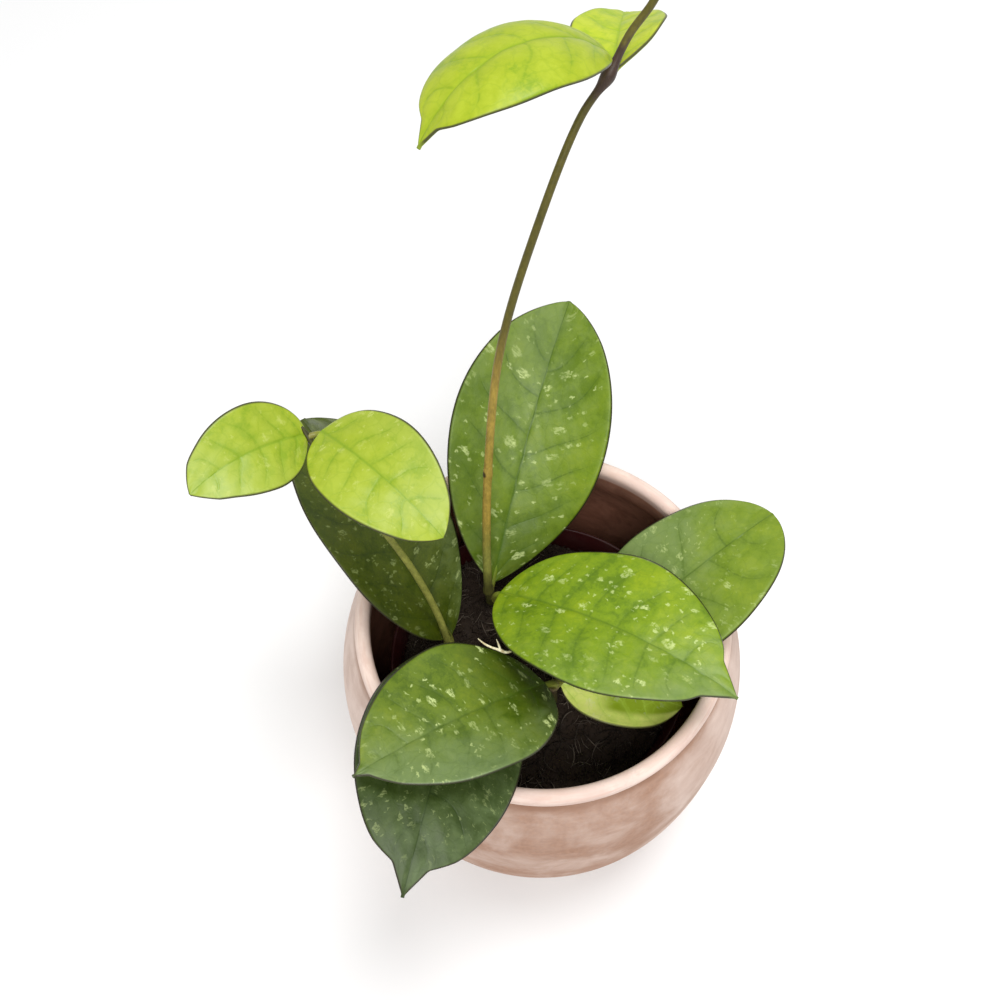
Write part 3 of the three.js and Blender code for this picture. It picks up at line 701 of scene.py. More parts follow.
def terracotta_finish(colours):
    """Clay under a thin wash that was brushed on while the pot turned, thicker on the lip."""
    surface = Surface("whitewashed terracotta")
    clay, wash, thick = colours.terracotta, colours.whitewash, colours.lip_wash
    place = surface.place()
    axes = surface.axes(place)
    height = axes["Z"]
    patches = surface.noise(place, 64, 5, 0.62, 0.35)
    strokes = surface.noise(surface.stretch(place, (1, 1, 2.2)), 90, 5, 0.6, 0.4)
    grain = surface.noise(place, 760, 3, 0.6)
    pits = surface.cells(place, 620).outputs["Distance"]
    radius = surface.length(surface.stretch(place, (1, 1, 0)))
    slope = surface.times(surface.math("SUBTRACT", radius, height), 7)
    brushed = surface.noise(surface.join(axes["X"], axes["Y"], slope), 95, 4, 0.6, 0.4)

    share = clay_wash(surface, axes["X"], patches, strokes, grain, brushed)
    colour = surface.mix(
        share, surface.blend(grain, 0.3, 0.7, clay, scaled(clay, 0.82, 0.78, 0.76)),
        surface.blend(strokes, 0.3, 0.7, wash, scaled(wash, 0.86, 0.82, 0.8)))
    # Painted light on the left flank, in the lip's wash colour and patchy with the wash
    left_flank_light = surface.times(surface.span(axes["X"], -62 * MM, -20 * MM, 0.9, 0),
                              surface.span(patches, 0.34, 0.56, 0.3, 1))
    colour = surface.mix(left_flank_light, colour, thick)
    groove = POT_GROOVE_HEIGHT * MM
    colour = surface.blend(height, groove, groove + 0.9 * MM, colour,
                           lip_tone(surface, thick, radius, patches, brushed))
    # Painted shade in the groove under the lip, in a darker clay colour
    colour = surface.mix(groove_shade(surface, height, strokes), colour,
                         scaled(clay, 0.72, 0.64, 0.58))
    # Inside: bare clay with painted shade, darker than the clay itself
    bare_clay_in_shade = surface.blend(patches, 0.4, 0.6, scaled(clay, 0.62, 0.42, 0.36),
                         scaled(clay, 0.9, 0.66, 0.6))
    colour = surface.mix(surface.attribute("inside"), colour, bare_clay_in_shade)

    relief = surface.times_plus(strokes, 0.5, surface.times(grain, 0.5))
    normal = surface.bump(relief, 0.4 * MM, 0.35)
    normal = surface.bump(surface.span(pits, 0.08, 0.3), 0.12 * MM, 0.25, normal)
    return surface.finish(colour, surface.span(share, 0, 1, 0.92, 0.76), normal,
                          Specular_IOR_Level=0.2)


def plastic_finish(colours):
    """Thin moulded plastic, glossy, with fine scuffs and dust."""
    surface = Surface("nursery pot plastic")
    place = surface.place()
    scuffs = surface.noise(surface.stretch(place, (1, 1, 0.25)), 420, 4, 0.6)
    dust = surface.noise(place, 70, 3, 0.5)
    colour = surface.mix(surface.span(dust, 0.5, 0.75, 0, 0.2), colours.plastic, POT_DUST)
    rough = surface.span(scuffs, 0.35, 0.7, 0.42, 0.55)
    normal = surface.bump(scuffs, 0.05 * MM, 0.12)
    return surface.finish(colour, rough, normal, Specular_IOR_Level=0.35)


def mark_inside(mesh):
    """Marks how far the pot's surface lies inside, softly from the top of the lip down, for the
    inside's painted shade.
    """
    x, y, z = read_values(mesh.vertices, "co", np.float32, 3).reshape(-1, 3).T / MM
    outer = np.array([body_radius(min(height, POT_GROOVE_HEIGHT)) for height in z])
    inner = np.hypot(x, y) < outer - INSIDE_MARGIN
    depth = np.clip((POT_HEIGHT - z) / INSIDE_DEPTH, 0, 1)
    mark_points(mesh, "inside", inner * depth * depth * (3 - 2 * depth))


class HOYA_OT_make_pot(bpy.types.Operator):
    """Makes the rounded terracotta pot with its lip and groove"""

    bl_idname = "hoya.make_pot"
    bl_label = "Make the pot"

    def execute(self, context):
        scene = context.scene
        material = terracotta_finish(scene.hoya_colours)
        pot = turned_piece("terracotta_pot", pot_profile(), scene.hoya_sizes.pot_sides, material)
        mark_inside(pot.data)
        settle(pot, "terracotta", "pot")
        return {"FINISHED"}


def nursery_wall_radius(z):
    share = (z - NURSERY_FOOT) / (NURSERY_RIM_HEIGHT - NURSERY_FOOT)
    return NURSERY_FOOT_RADIUS + (NURSERY_WALL_TOP_RADIUS - NURSERY_FOOT_RADIUS) * share


def nursery_profile():
    """Profile of the nursery pot: foot, wall, rolled rim band, and back down inside."""
    band = NURSERY_RIM_HEIGHT - NURSERY_RIM_BAND
    floor_top = NURSERY_FOOT + NURSERY_FLOOR
    outer = [(nursery_wall_radius(z), z)
             for z in np.linspace(NURSERY_FOOT + 1.2, band - 0.3, NURSERY_WALL_RINGS)]
    rolled = rounded_rim(NURSERY_RIM_RADIUS - NURSERY_RIM_ROLL, NURSERY_RIM_HEIGHT,
                         NURSERY_RIM_ROLL, NURSERY_RIM_STEPS)
    inner = [(nursery_wall_radius(z) - NURSERY_WALL, z)
             for z in np.linspace(NURSERY_RIM_HEIGHT - 1.5, floor_top + 0.8, NURSERY_WALL_RINGS)]
    return [(0, NURSERY_FOOT), (NURSERY_FOOT_RADIUS - 1.2, NURSERY_FOOT),
            (NURSERY_FOOT_RADIUS - 0.4, NURSERY_FOOT + 0.35), *outer,
            (nursery_wall_radius(band) + 0.1, band), (NURSERY_RIM_RADIUS - 0.35, band + 0.15),
            (NURSERY_RIM_RADIUS - 0.1, band + 0.5), *rolled, *inner,
            (nursery_wall_radius(floor_top) - NURSERY_WALL - 0.8, floor_top), (0, floor_top)]


def drain_hole_tree(material):
    """Cuts a ring of round drain holes through a floor."""
    tree, nodes, given = new_tree(
        "Drain holes", ("Holes", "NodeSocketInt"), ("Ring radius", "NodeSocketFloat"),
        ("Hole radius", "NodeSocketFloat"), ("Height", "NodeSocketFloat"))
    ring = nodes.add("GeometryNodeMeshCircle", {"Vertices": given["Holes"],
                                                "Radius": given["Ring radius"]})
    cutter = nodes.add("GeometryNodeMeshCylinder", {
        "Vertices": NURSERY_HOLE_SIDES, "Radius": given["Hole radius"],
        "Depth": 4 * NURSERY_FLOOR * MM})
    copies = nodes.add("GeometryNodeInstanceOnPoints", {"Points": ring.outputs[0],
                                                        "Instance": cutter.outputs[0]})
    placed = nodes.add("GeometryNodeTransform", {
        "Geometry": copies.outputs[0], "Translation": nodes.join(0, 0, given["Height"])})
    real = nodes.add("GeometryNodeRealizeInstances", {"Geometry": placed.outputs[0]})
    cut = nodes.add("GeometryNodeMeshBoolean", operation="DIFFERENCE")
    nodes.feed(cut.inputs["Mesh 1"], given["Geometry"])
    nodes.feed(cut.inputs["Mesh 2"], real.outputs[0])
    end_tree(nodes, cut.outputs["Mesh"], material)
    return tree


class HOYA_OT_make_nursery_pot(bpy.types.Operator):
    """Makes the thin plastic nursery pot with its rolled rim and drain holes"""

    bl_idname = "hoya.make_nursery_pot"
    bl_label = "Make the nursery pot"

    def execute(self, context):
        scene = context.scene
        material = plastic_finish(scene.hoya_colours)
        sides = scene.hoya_sizes.pot_sides
        pot = turned_piece("plastic_nursery_pot", nursery_profile(), sides, material)
        grow(pot, drain_hole_tree(material), **{
            "Holes": NURSERY_HOLES, "Ring radius": NURSERY_HOLE_RING * MM,
            "Hole radius": NURSERY_HOLE_RADIUS * MM,
            "Height": (NURSERY_FOOT + NURSERY_FLOOR / 2) * MM})
        pot.data.transform(Matrix.Translation((NURSERY_X * MM, NURSERY_Y * MM, 0)))
        settle(pot, "nursery_plastic", "nursery_pot")
        return {"FINISHED"}


# Soil


def soil_height(x, y):
    """Height of the soil's lumps and hollows above its level, in millimetres."""
    broad = np.sin(x * 0.19 + 0.7) * np.cos(y * 0.16 - 0.4)
    middle = np.sin(x * 0.47 + y * 0.31) * np.cos(y * 0.53 - x * 0.22 + 1.1)
    fine = np.sin(x * 1.31 - y * 0.74 + 2) * np.cos(y * 1.13 + x * 0.58)
    finest = np.sin(x * 2.9 + 1.7 * np.sin(y * 1.9)) * np.cos(y * 2.7 + 1.3 * np.sin(x * 2.1))
    return SOIL_ROUGHNESS * (0.8 * broad + 0.5 * middle + 0.4 * fine + 0.25 * finest)


def soil_solid():
    """Closed body of soil with a lumpy top, at the nursery pot's place."""
    rings, sectors = SOIL_RINGS, SOIL_SECTORS
    angles = np.linspace(0, 2 * math.pi, sectors, endpoint=False)
    vertices = [(0, 0, SOIL_LEVEL + float(soil_height(0, 0)))]
    for ring in range(1, rings + 1):
        radius = SOIL_TOP_RADIUS * ring / rings
        x, y = radius * np.cos(angles), radius * np.sin(angles)
        vertices += list(zip(x, y, SOIL_LEVEL + soil_height(x, y)))
    x, y = SOIL_FOOT_RADIUS * np.cos(angles), SOIL_FOOT_RADIUS * np.sin(angles)
    vertices += list(zip(x, y, np.full(sectors, SOIL_FOOT)))
    vertices.append((0, 0, SOIL_FOOT))
    faces = []
    last = len(vertices) - 1
    for k in range(sectors):
        after = (k + 1) % sectors
        faces.append((0, 1 + k, 1 + after))
        for ring in range(rings):
            inner = 1 + ring * sectors
            outer = inner + sectors
            faces.append((inner + k, outer + k, outer + after, inner + after))
        foot = 1 + rings * sectors
        faces.append((last, foot + after, foot + k))
    place = np.array([NURSERY_X, NURSERY_Y, 0])
    return (np.array(vertices) + place) * MM, faces


def strewn(nodes, given, thing, turn, scale):
    """Copies of a thing on points scattered over the upward faces of the given geometry."""
    normal = nodes.add("GeometryNodeInputNormal").outputs[0]
    upward = nodes.math("GREATER_THAN", nodes.axes(normal)["Z"], LEAST_UPWARD)
    points = nodes.add("GeometryNodeDistributePointsOnFaces", {
        "Mesh": given["Geometry"], "Selection": upward, "Density": given["Density"],
        "Seed": given["Seed"]})
    return nodes.add("GeometryNodeInstanceOnPoints", {
        "Points": points.outputs["Points"], "Instance": thing, "Rotation": turn,
        "Scale": scale}).outputs[0]


def crumb_tree(material):
    """Strews lumps of mixed size over the upward faces of a body of soil."""
    tree, nodes, given = new_tree("Soil crumbs", ("Density", "NodeSocketFloat"),
                                  ("Radius", "NodeSocketFloat"), ("Seed", "NodeSocketInt"))
    lump = nodes.add("GeometryNodeMeshIcoSphere", {"Radius": 1.0, "Subdivisions": 1})
    turn = nodes.random((0, 0, 0), (FULL_TURN, FULL_TURN, FULL_TURN))
    scale = nodes.vector("SCALE", nodes.random(*CRUMB_SHAPES))
    nodes.feed(scale.node.inputs["Scale"], nodes.times(given["Radius"], nodes.random(*CRUMB_SCALES)))
    joined = nodes.add("GeometryNodeJoinGeometry")
    nodes.feed(joined.inputs[0], strewn(nodes, given, lump.outputs["Mesh"], turn, scale))
    nodes.feed(joined.inputs[0], given["Geometry"])
    end_tree(nodes, joined.outputs[0], material)
    return tree


def fibre_tree(material):
    """Lays short bent fibres over the upward faces of a body of soil, without the body."""
    tree, nodes, given = new_tree("Soil fibres", ("Density", "NodeSocketFloat"),
                                  ("Length", "NodeSocketFloat"), ("Seed", "NodeSocketInt"))
    arc = nodes.add("GeometryNodeCurveQuadraticBezier", {
        "Resolution": 7, "Start": (-0.5, 0, -0.05), "Middle": (0.05, 0.28, 0.4),
        "End": (0.5, -0.1, 0)})
    section = nodes.add("GeometryNodeCurvePrimitiveCircle", {
        "Resolution": 4, "Radius": FIBRE_THICKNESS})
    thread = nodes.add("GeometryNodeCurveToMesh", {
        "Curve": arc.outputs[0], "Profile Curve": section.outputs[0], "Fill Caps": True})
    turn = nodes.random((-FIBRE_SLANT, -FIBRE_SLANT, 0), (FIBRE_SLANT, FIBRE_SLANT, FULL_TURN))
    scale = nodes.times(given["Length"], nodes.random(*FIBRE_SCALES))
    end_tree(nodes, strewn(nodes, given, thread.outputs[0], turn, scale), material)
    return tree


def soil_finish(colours):
    """Dark peaty mix with browner crumbs."""
    surface = Surface("potting mix")
    place = surface.place()
    mottle = surface.noise(place, 160, 5, 0.65)
    grain = surface.noise(place, 1300, 4, 0.65)
    colour = surface.blend(mottle, 0.4, 0.68, colours.soil, DARK_SOIL)
    colour = surface.mix(surface.span(grain, 0.58, 0.75, 0, 0.5), colour, SOIL_GRAINS)
    normal = surface.bump(grain, 0.35 * MM, 0.7)
    return surface.finish(colour, surface.span(mottle, 0.3, 0.7, 0.75, 1), normal,
                          Specular_IOR_Level=0.3)


def fibre_finish():
    """Brown to grey peat fibres."""
    surface = Surface("peat fibre")
    tone = surface.noise(surface.place(), 95, 2, 0.5)
    colour = surface.blend(tone, 0.42, 0.62, DARK_FIBRE, PALE_FIBRE)
    return surface.finish(colour, 0.8, Specular_IOR_Level=0.25)


class HOYA_OT_make_soil(bpy.types.Operator):
    """Makes the soil with its crumbs and fibres"""

    bl_idname = "hoya.make_soil"
    bl_label = "Make the soil"

    def execute(self, context):
        scene = context.scene
        sizes = scene.hoya_sizes
        vertices, faces = soil_solid()
        bed = new_object("soil_bed", vertices, faces)
        fibres = new_object("soil_fibres", vertices, faces)
        grow(bed, crumb_tree(soil_finish(scene.hoya_colours)),
             Density=float(sizes.crumbs), Radius=sizes.crumb, Seed=CRUMB_SEED)
        grow(fibres, fibre_tree(fibre_finish()),
             Density=float(sizes.fibres), Length=sizes.fibre_length, Seed=FIBRE_SEED)
        settle(bed, "soil", "soil")
        settle(fibres, "soil")
        return {"FINISHED"}


# Stems


def smooth_route(points, spacing=0.5):
    """Points every half millimetre along a centripetal curve through the given ones."""
    p = np.array(points, float)
    p = np.vstack([2 * p[0] - p[1], p, 2 * p[-1] - p[-2]])
    route = []
    for a, b, c, d in zip(p, p[1:], p[2:], p[3:]):
        t0, t1, t2 = (np.linalg.norm(end - start) ** 0.5 for start, end in ((a, b), (b, c), (c, d)))
        leave = ((b - a) / t0 - (c - a) / (t0 + t1) + (c - b) / t1) * t1
        arrive = ((c - b) / t1 - (d - b) / (t1 + t2) + (d - c) / t2) * t1
        steps = max(2, round(np.linalg.norm(c - b) / spacing))
        for u in np.arange(steps) / steps:
            route.append((2 * b - 2 * c + leave + arrive) * u ** 3
                         + (3 * c - 3 * b - 2 * leave - arrive) * u ** 2 + leave * u + b)
    route.append(p[-2])
    return np.array(route)


def stem_radii(stem, route):
    """Radius along a stem: an even taper, a pointed end and a swelling at each node."""
    lengths = np.linalg.norm(np.diff(route, axis=0), axis=1)
    along = np.concatenate([[0], np.cumsum(lengths)])
    foot, tip = stem["radii"]
    radius = foot + (tip - foot) * along / along[-1]
    to_tip = (along[-1] - along) / stem["tip"]
    radius *= TIP_SHARE + (1 - TIP_SHARE) * np.minimum(1, to_tip) ** TIP_BLUNTNESS
    for place, height, reach in stem["nodes"]:
        distance = np.linalg.norm(route - np.array(place), axis=1)
        radius += height * np.exp(-(distance / reach) ** 2)
    return radius


def stem_tree(material):
    """A round stem along a line of points, as thick as their radius says, with closed ends."""
    tree, nodes, given = new_tree("Stem along a route", ("Sides", "NodeSocketInt"))
    route = nodes.add("GeometryNodeMeshToCurve", {"Mesh": given["Geometry"]})
    radius = nodes.add("GeometryNodeInputNamedAttribute", {"Name": "radius"}, data_type="FLOAT")
    section = nodes.add("GeometryNodeCurvePrimitiveCircle", {"Resolution": given["Sides"],
                                                             "Radius": 1.0})
    tube = nodes.add("GeometryNodeCurveToMesh", {
        "Curve": route.outputs[0], "Profile Curve": section.outputs["Curve"],
        "Scale": radius.outputs[0], "Fill Caps": True})
    end_tree(nodes, tube.outputs[0], material)
    return tree


def stem_finish(name, bands):
    """Young stem with fine streaks; bands are (height in mm, colour) from the soil upwards."""
    surface = Surface(name)
    place = surface.place()
    streaks = surface.noise(surface.stretch(place, (1, 1, 0.12)), 1500, 4, 0.6)
    blotches = surface.noise(place, 260, 4, 0.6, 0.5)
    wander = surface.times(surface.centred(blotches), 12 * MM)
    level = surface.math("ADD", surface.axes(place)["Z"], wander)
    colour = bands[0][1]
    for (low, _), (high, upper) in zip(bands, bands[1:]):
        colour = surface.blend(level, low * MM, high * MM, colour, upper)
    shade = surface.blend(blotches, 0.35, 0.7, (0.82, 0.82, 0.78), (1.1, 1.08, 1.02))
    colour = surface.mix(1.0, colour, shade, "MULTIPLY")
    fine = surface.blend(streaks, 0.38, 0.62, (0.88, 0.88, 0.86), (1.1, 1.09, 1.07))
    colour = surface.mix(1.0, colour, fine, "MULTIPLY")
    from_scar = surface.vector("SUBTRACT", place, tuple(c * MM for c in SCAR_SPOT))
    scar = surface.span(surface.length(from_scar), 0.6 * MM, 1.3 * MM, 0.9, 0)
    colour = surface.mix(scar, colour, SCAR_BROWN)
    normal = surface.bump(streaks, 0.1 * MM, 0.5)
    return surface.finish(colour, surface.span(blotches, 0.3, 0.7, 0.42, 0.6), normal,
                          Specular_IOR_Level=0.45)


def stem_bands(colours):
    """Heights in millimetres and the colour that each stem has there, with painted shade at the soil.
    """
    green, tan, dark = colours.stem_green, colours.stem_tan, colours.stem_dark
    purple = linear(70, 52, 44)
    # Painted shade: every stem is darkened where it leaves the soil
    shade = scaled(green, 0.55, 0.55, 0.55)
    return {
        "vine_stem": [(58, shade), (76, scaled(green, 0.75, 0.72, 0.85)), (90, green), (108, tan),
                      (140, tan), (166, dark), (204, dark), (210, purple), (214, purple),
                      (222, dark)],
        "shoot_stem": [(60, shade), (78, green), (134, green), (141, scaled(dark, 0.4, 0.45, 0.5))],
        "front_cutting_stem": [(60, shade), (80, linear(134, 120, 92))],
        "middle_cutting_stem": [(60, shade), (90, green)],
    }


def root_finish(colours):
    """Dry pale root with darker streaks."""
    surface = Surface("pale root")
    streaks = surface.noise(surface.place(), 900, 3, 0.6)
    colour = surface.blend(streaks, 0.35, 0.65, scaled(colours.root, 0.6, 0.52, 0.4),
                           colours.root)
    return surface.finish(colour, 0.7, Specular_IOR_Level=0.3)


def make_stem(name, stem, material, sides, *replaced):
    """Makes a stem or a root along its smoothed route."""
    route = smooth_route(stem["points"])
    piece = polyline(name, route * MM, stem_radii(stem, route) * MM)
    grow(piece, stem_tree(material), Sides=sides)
    turn_outwards(piece.data)
    settle(piece, "stem", *replaced)


class HOYA_OT_make_stems(bpy.types.Operator):
    """Makes the four stems with their swollen nodes, and a pale root"""

    bl_idname = "hoya.make_stems"
    bl_label = "Make the stems"

    def execute(self, context):
        colours, sizes = context.scene.hoya_colours, context.scene.hoya_sizes
        bands = stem_bands(colours)
        for name, stem in STEMS.items():
            make_stem(name + "_fine", stem, stem_finish(name, bands[name]), sizes.stem_sides, name)
        pale = root_finish(colours)
        for name, root in ROOTS.items():
            make_stem(name, root, pale, sizes.root_sides)
        return {"FINISHED"}


# Leaves


def radians(degrees):
    return np.asarray(degrees) * math.pi / 180


def blade_outline(leaf, s):
    """Half width of a blade as a share of its greatest, from base (0) to tip (1)."""
    q = np.minimum(s / (1 - 0.5 * leaf["acumen"]), 1)
    widest = leaf["rise"] / (leaf["rise"] + leaf["fall"])
    peak = widest ** leaf["rise"] * (1 - widest) ** leaf["fall"]
    body = q ** leaf["rise"] * (1 - q) ** leaf["fall"] / peak
    point = leaf["point"] * (1 - s) * np.clip((s - 0.72) / 0.15, 0, 1)
    return np.cbrt(body ** 3 + point ** 3)


def blade_frame(leaf, s):
    """Directions along the midrib, to the blade's left side and out of its upper side."""
    pitch = radians(leaf["pitch"] + leaf["sag"] * s + leaf["tip_sag"] * s ** 3)
    heading = radians(leaf["heading"] + leaf["turn"] * s)
    roll = radians(leaf["roll"] + leaf["twist"] * (s - 0.5))[:, None]
    along = np.stack([np.cos(pitch) * np.cos(heading), np.cos(pitch) * np.sin(heading),
                      np.sin(pitch)], 1)
    level = np.stack([-np.sin(heading), np.cos(heading), np.zeros_like(heading)], 1)
    square = np.cross(along, level)
    left = level * np.cos(roll) + square * np.sin(roll)
    up = square * np.cos(roll) - level * np.sin(roll)
    return along, left, up


def midrib_points(leaf, s, steps=400):
    """Midrib positions at s, by adding short steps from the base."""
    middles = (np.arange(steps) + 0.5) / steps
    along = blade_frame(leaf, middles)[0] * leaf["length"] / steps
    route = np.vstack([np.zeros(3), np.cumsum(along, axis=0)]) + np.array(leaf["base"])
    ends = np.linspace(0, 1, steps + 1)
    return np.stack([np.interp(s, ends, route[:, axis]) for axis in range(3)], 1)


def vein_phase(leaf, s, v):
    """Counts the side veins: one runs wherever the value is a whole number and a half."""
    side = np.where(v < 0, leaf["offset"], 0)
    seed = leaf["length"]
    sway = 0.12 * np.sin(9 * s + seed + 2 * (v < 0)) + 0.05 * np.sin(17 * s + 5 * np.abs(v) + seed)
    return (s - leaf["sweep"] * np.abs(v) ** leaf["bow"]) * leaf["veins"] + side + sway + 1


def blade_grid(leaf, sizes):
    """Stations along a blade, places round its section, and which of those lie underneath."""
    even = np.linspace(0, 1, sizes.leaf_rows + 1)
    closing = 0.45 * leaf["acumen"] if leaf["acumen"] < DRAWN_OUT else 0
    s = (0.5 * even + 0.25 * (1 - np.cos(math.pi * even))) * (1 - closing)
    strips = np.linspace(-1, 1, sizes.leaf_strips + 1)
    spread = np.sign(strips) * np.abs(strips) ** EDGE_CROWDING
    v = np.concatenate([spread, spread[-2:0:-1]])
    under = np.concatenate([np.zeros(len(spread)), np.ones(len(spread) - 2)])
    return s, v, under


def blade_middle(leaf, s, v, share, half):
    """Points and upward directions halfway through a cupped, folded and wavy blade."""
    left, up = blade_frame(leaf, s)[1:]
    bend = leaf["cup"] * share
    bend = np.where(np.abs(bend) < 1e-3, 1e-3, bend)
    phase = 2 * math.pi * WAVE_COUNT * s[:, None] + np.where(v < 0, 2, 0)
    wave = leaf["wave"] * np.sin(phase) * np.abs(v) ** 3 * share
    across = np.sin(bend * v) / bend * half
    lift = (1 - np.cos(bend * v)) / bend * half + leaf["fold"] * np.abs(v) * half + wave
    middle = midrib_points(leaf, s)[:, None]
    point = middle + left[:, None] * across[..., None] + up[:, None] * lift[..., None]
    normal = up[:, None] * np.cos(bend * v)[..., None] - left[:, None] * np.sin(bend * v)[..., None]
    return point, normal


def blade_relief(leaf, sizes, s, v, y):
    """Millimetres by which the upper and the lower side rise at ribs, veins and swellings."""
    x = s * leaf["length"]
    inside = 1 - np.clip(np.abs(v), 0, 1) ** 6
    rib_width = 1.0 - 0.5 * s
    rib = np.exp(-(y / rib_width) ** 2) * (1 - s ** 3)
    spacing = leaf["length"] / leaf["veins"]
    count = vein_phase(leaf, s, v)
    from_vein = np.abs(count - np.floor(count) - 0.5) * spacing
    vein = np.exp(-(from_vein / VEIN_WIDTH) ** 2) * inside * np.clip(s / 0.1, 0, 1)
    seed = leaf["length"] * 1.7
    uneven = (np.sin(x * 0.31 + seed) * np.sin(y * 0.37 + 1.3 * np.sin(x * 0.12 + seed))
              + 0.5 * np.sin(x * 0.83 - y * 0.66 + seed) * np.cos(y * 0.9 + 2))
    swell = np.clip(from_vein / (0.5 * spacing), 0, 1) - 0.5
    pucker = sizes.pucker / MM * (uneven * 0.6 + swell * 0.8) * inside
    upper = pucker - sizes.rib_groove / MM * rib - sizes.vein_groove / MM * vein
    lower = sizes.rib_height / MM * rib + 0.5 * sizes.vein_groove / MM * vein - pucker
    return upper, lower


def tube_faces(rows, loop, turned=False):
    """Squares between rows of points round a tube, and a cap at both ends."""
    faces = []
    for first in range(0, (rows - 1) * loop, loop):
        for k in range(loop):
            here, after = first + k, first + (k + 1) % loop
            square = (here, here + loop, after + loop, after)
            faces.append((here, *square[:0:-1]) if turned else square)
    caps = (tuple(range(loop)), tuple(range((rows - 1) * loop, rows * loop))[::-1])
    return faces + [cap[::-1] if turned else cap for cap in caps]


def blade_mesh(leaf, sizes):
    """Vertices, faces and pattern values of a blade, in millimetres."""
    stations, places, under = blade_grid(leaf, sizes)
    share = blade_outline(leaf, stations)[:, None]
    least = (BLADE_BASE_HALF + (BLADE_TIP_HALF - BLADE_BASE_HALF) * stations)[:, None]
    half = np.maximum(leaf["width"] / 2 * share, least)
    point, normal = blade_middle(leaf, stations, places, share, half)
    s, v = np.broadcast_arrays(stations[:, None], places[None, :])
    thickness = BLADE_EDGE + (BLADE_MIDDLE - BLADE_EDGE) * (1 - np.maximum(v ** 2, s ** 8))
    rounding = np.clip(thickness / 2 / half, 0.02, 0.9)
    past = np.clip((np.abs(v) - (1 - rounding)) / rounding, 0, 1)
    rounded = np.sqrt(1 - past ** 2)
    upper, lower = blade_relief(leaf, sizes, s, v, v * half)
    offset = thickness / 2 * rounded + np.where(under > 0, lower, upper) * rounded
    face = np.where(under > 0, -1.0, 1.0)
    vertices = (point + normal * (offset * face)[..., None]).reshape(-1, 3)
    values = {
        "along": s, "across": v, "flat_x": s * leaf["length"], "flat_y": v * half,
        "edge_mm": (1 - np.abs(v)) * half, "under": np.broadcast_to(under, s.shape),
        "stalk": np.zeros_like(s),
    }
    return vertices, tube_faces(*s.shape), {key: value.reshape(-1) for key, value in values.items()}


def stalk_mesh(leaf, steps=22, sides=16):
    """Vertices, faces and pattern values of the leaf stalk, from the stem into the blade."""
    ends = blade_frame(leaf, np.array([0.0, STALK_REACH]))
    start = np.array(leaf["node"], float)
    base = np.array(leaf["base"], float)
    reach = np.linalg.norm(start - base) * 0.4
    bend = base - ends[0][0] * reach - ends[2][0] * 0.5
    end = midrib_points(leaf, np.array([STALK_REACH]))[0] - ends[2][1] * 0.3
    u = np.linspace(0, 1, steps + 1)[:, None]
    route = ((1 - u) ** 3 * start + 3 * (1 - u) ** 2 * u * bend + 3 * (1 - u) * u ** 2 * base
             + u ** 3 * end)
    ahead = np.gradient(route, axis=0)
    ahead /= np.linalg.norm(ahead, axis=1)[:, None]
    side = np.cross(ahead, ends[2][0])
    side /= np.linalg.norm(side, axis=1)[:, None]
    top = np.cross(side, ahead)
    radius = leaf["stalk"] * (1 - 0.4 * u + 0.25 * np.exp(-(u / 0.12) ** 2))
    angles = np.linspace(0, 2 * math.pi, sides, endpoint=False)
    ring = (side[:, None] * np.cos(angles)[None, :, None]
            + top[:, None] * np.sin(angles)[None, :, None])
    vertices = (route[:, None] + ring * radius[:, :, None]).reshape(-1, 3)
    count = len(vertices)
    along = np.repeat(u[:, 0], sides)
    values = {
        "along": along * 0, "across": np.zeros(count), "flat_x": STALK_LENGTH * (along - 1),
        "flat_y": np.tile(angles, steps + 1), "edge_mm": np.full(count, 9.0),
        "under": np.zeros(count), "stalk": np.ones(count),
    }
    return vertices, tube_faces(steps + 1, sides, turned=True), values


def leaf_object(leaf, sizes):
    """Joins blade and stalk in one mesh and writes the pattern values onto it."""
    vertices, faces, values = blade_mesh(leaf, sizes)
    more, more_faces, more_values = stalk_mesh(leaf)
    shift = len(vertices)
    faces += [tuple(shift + i for i in face) for face in more_faces]
    values = {key: np.concatenate([values[key], more_values[key]]) for key in values}
    piece = new_object(leaf["name"] + "_fine", np.vstack([vertices, more]) * MM, faces)
    mesh = piece.data
    for key in ("edge_mm", "under", "stalk"):
        mark_points(mesh, key, values[key])
    corners = read_values(mesh.loops, "vertex_index", np.int32)
    totals = read_values(mesh.polygons, "loop_total", np.int32)
    owner = np.repeat(np.arange(len(totals)), totals)
    middle = np.bincount(owner, values["across"][corners]) / totals
    side = np.where(middle[owner] < 0, -1e-6, 1e-6)
    across = values["across"][corners]
    across = np.where(np.abs(across) < 1e-6, side, across)
    phase = vein_phase(leaf, values["along"][corners], across)
    x, y = values["flat_x"][corners], values["flat_y"][corners]
    flat = np.stack([x / FLAT_SCALE, y / FLAT_SCALE + 0.5], 1)
    pattern = np.stack([phase / PHASE_SCALE, across / 2 + 0.5], 1)
    for label, pair in (("flat", flat), ("veins", pattern)):
        layer = mesh.uv_layers.new(name=label)
        layer.data.foreach_set("uv", pair.astype(np.float32).ravel())
    turn_outwards(mesh)
    return piece


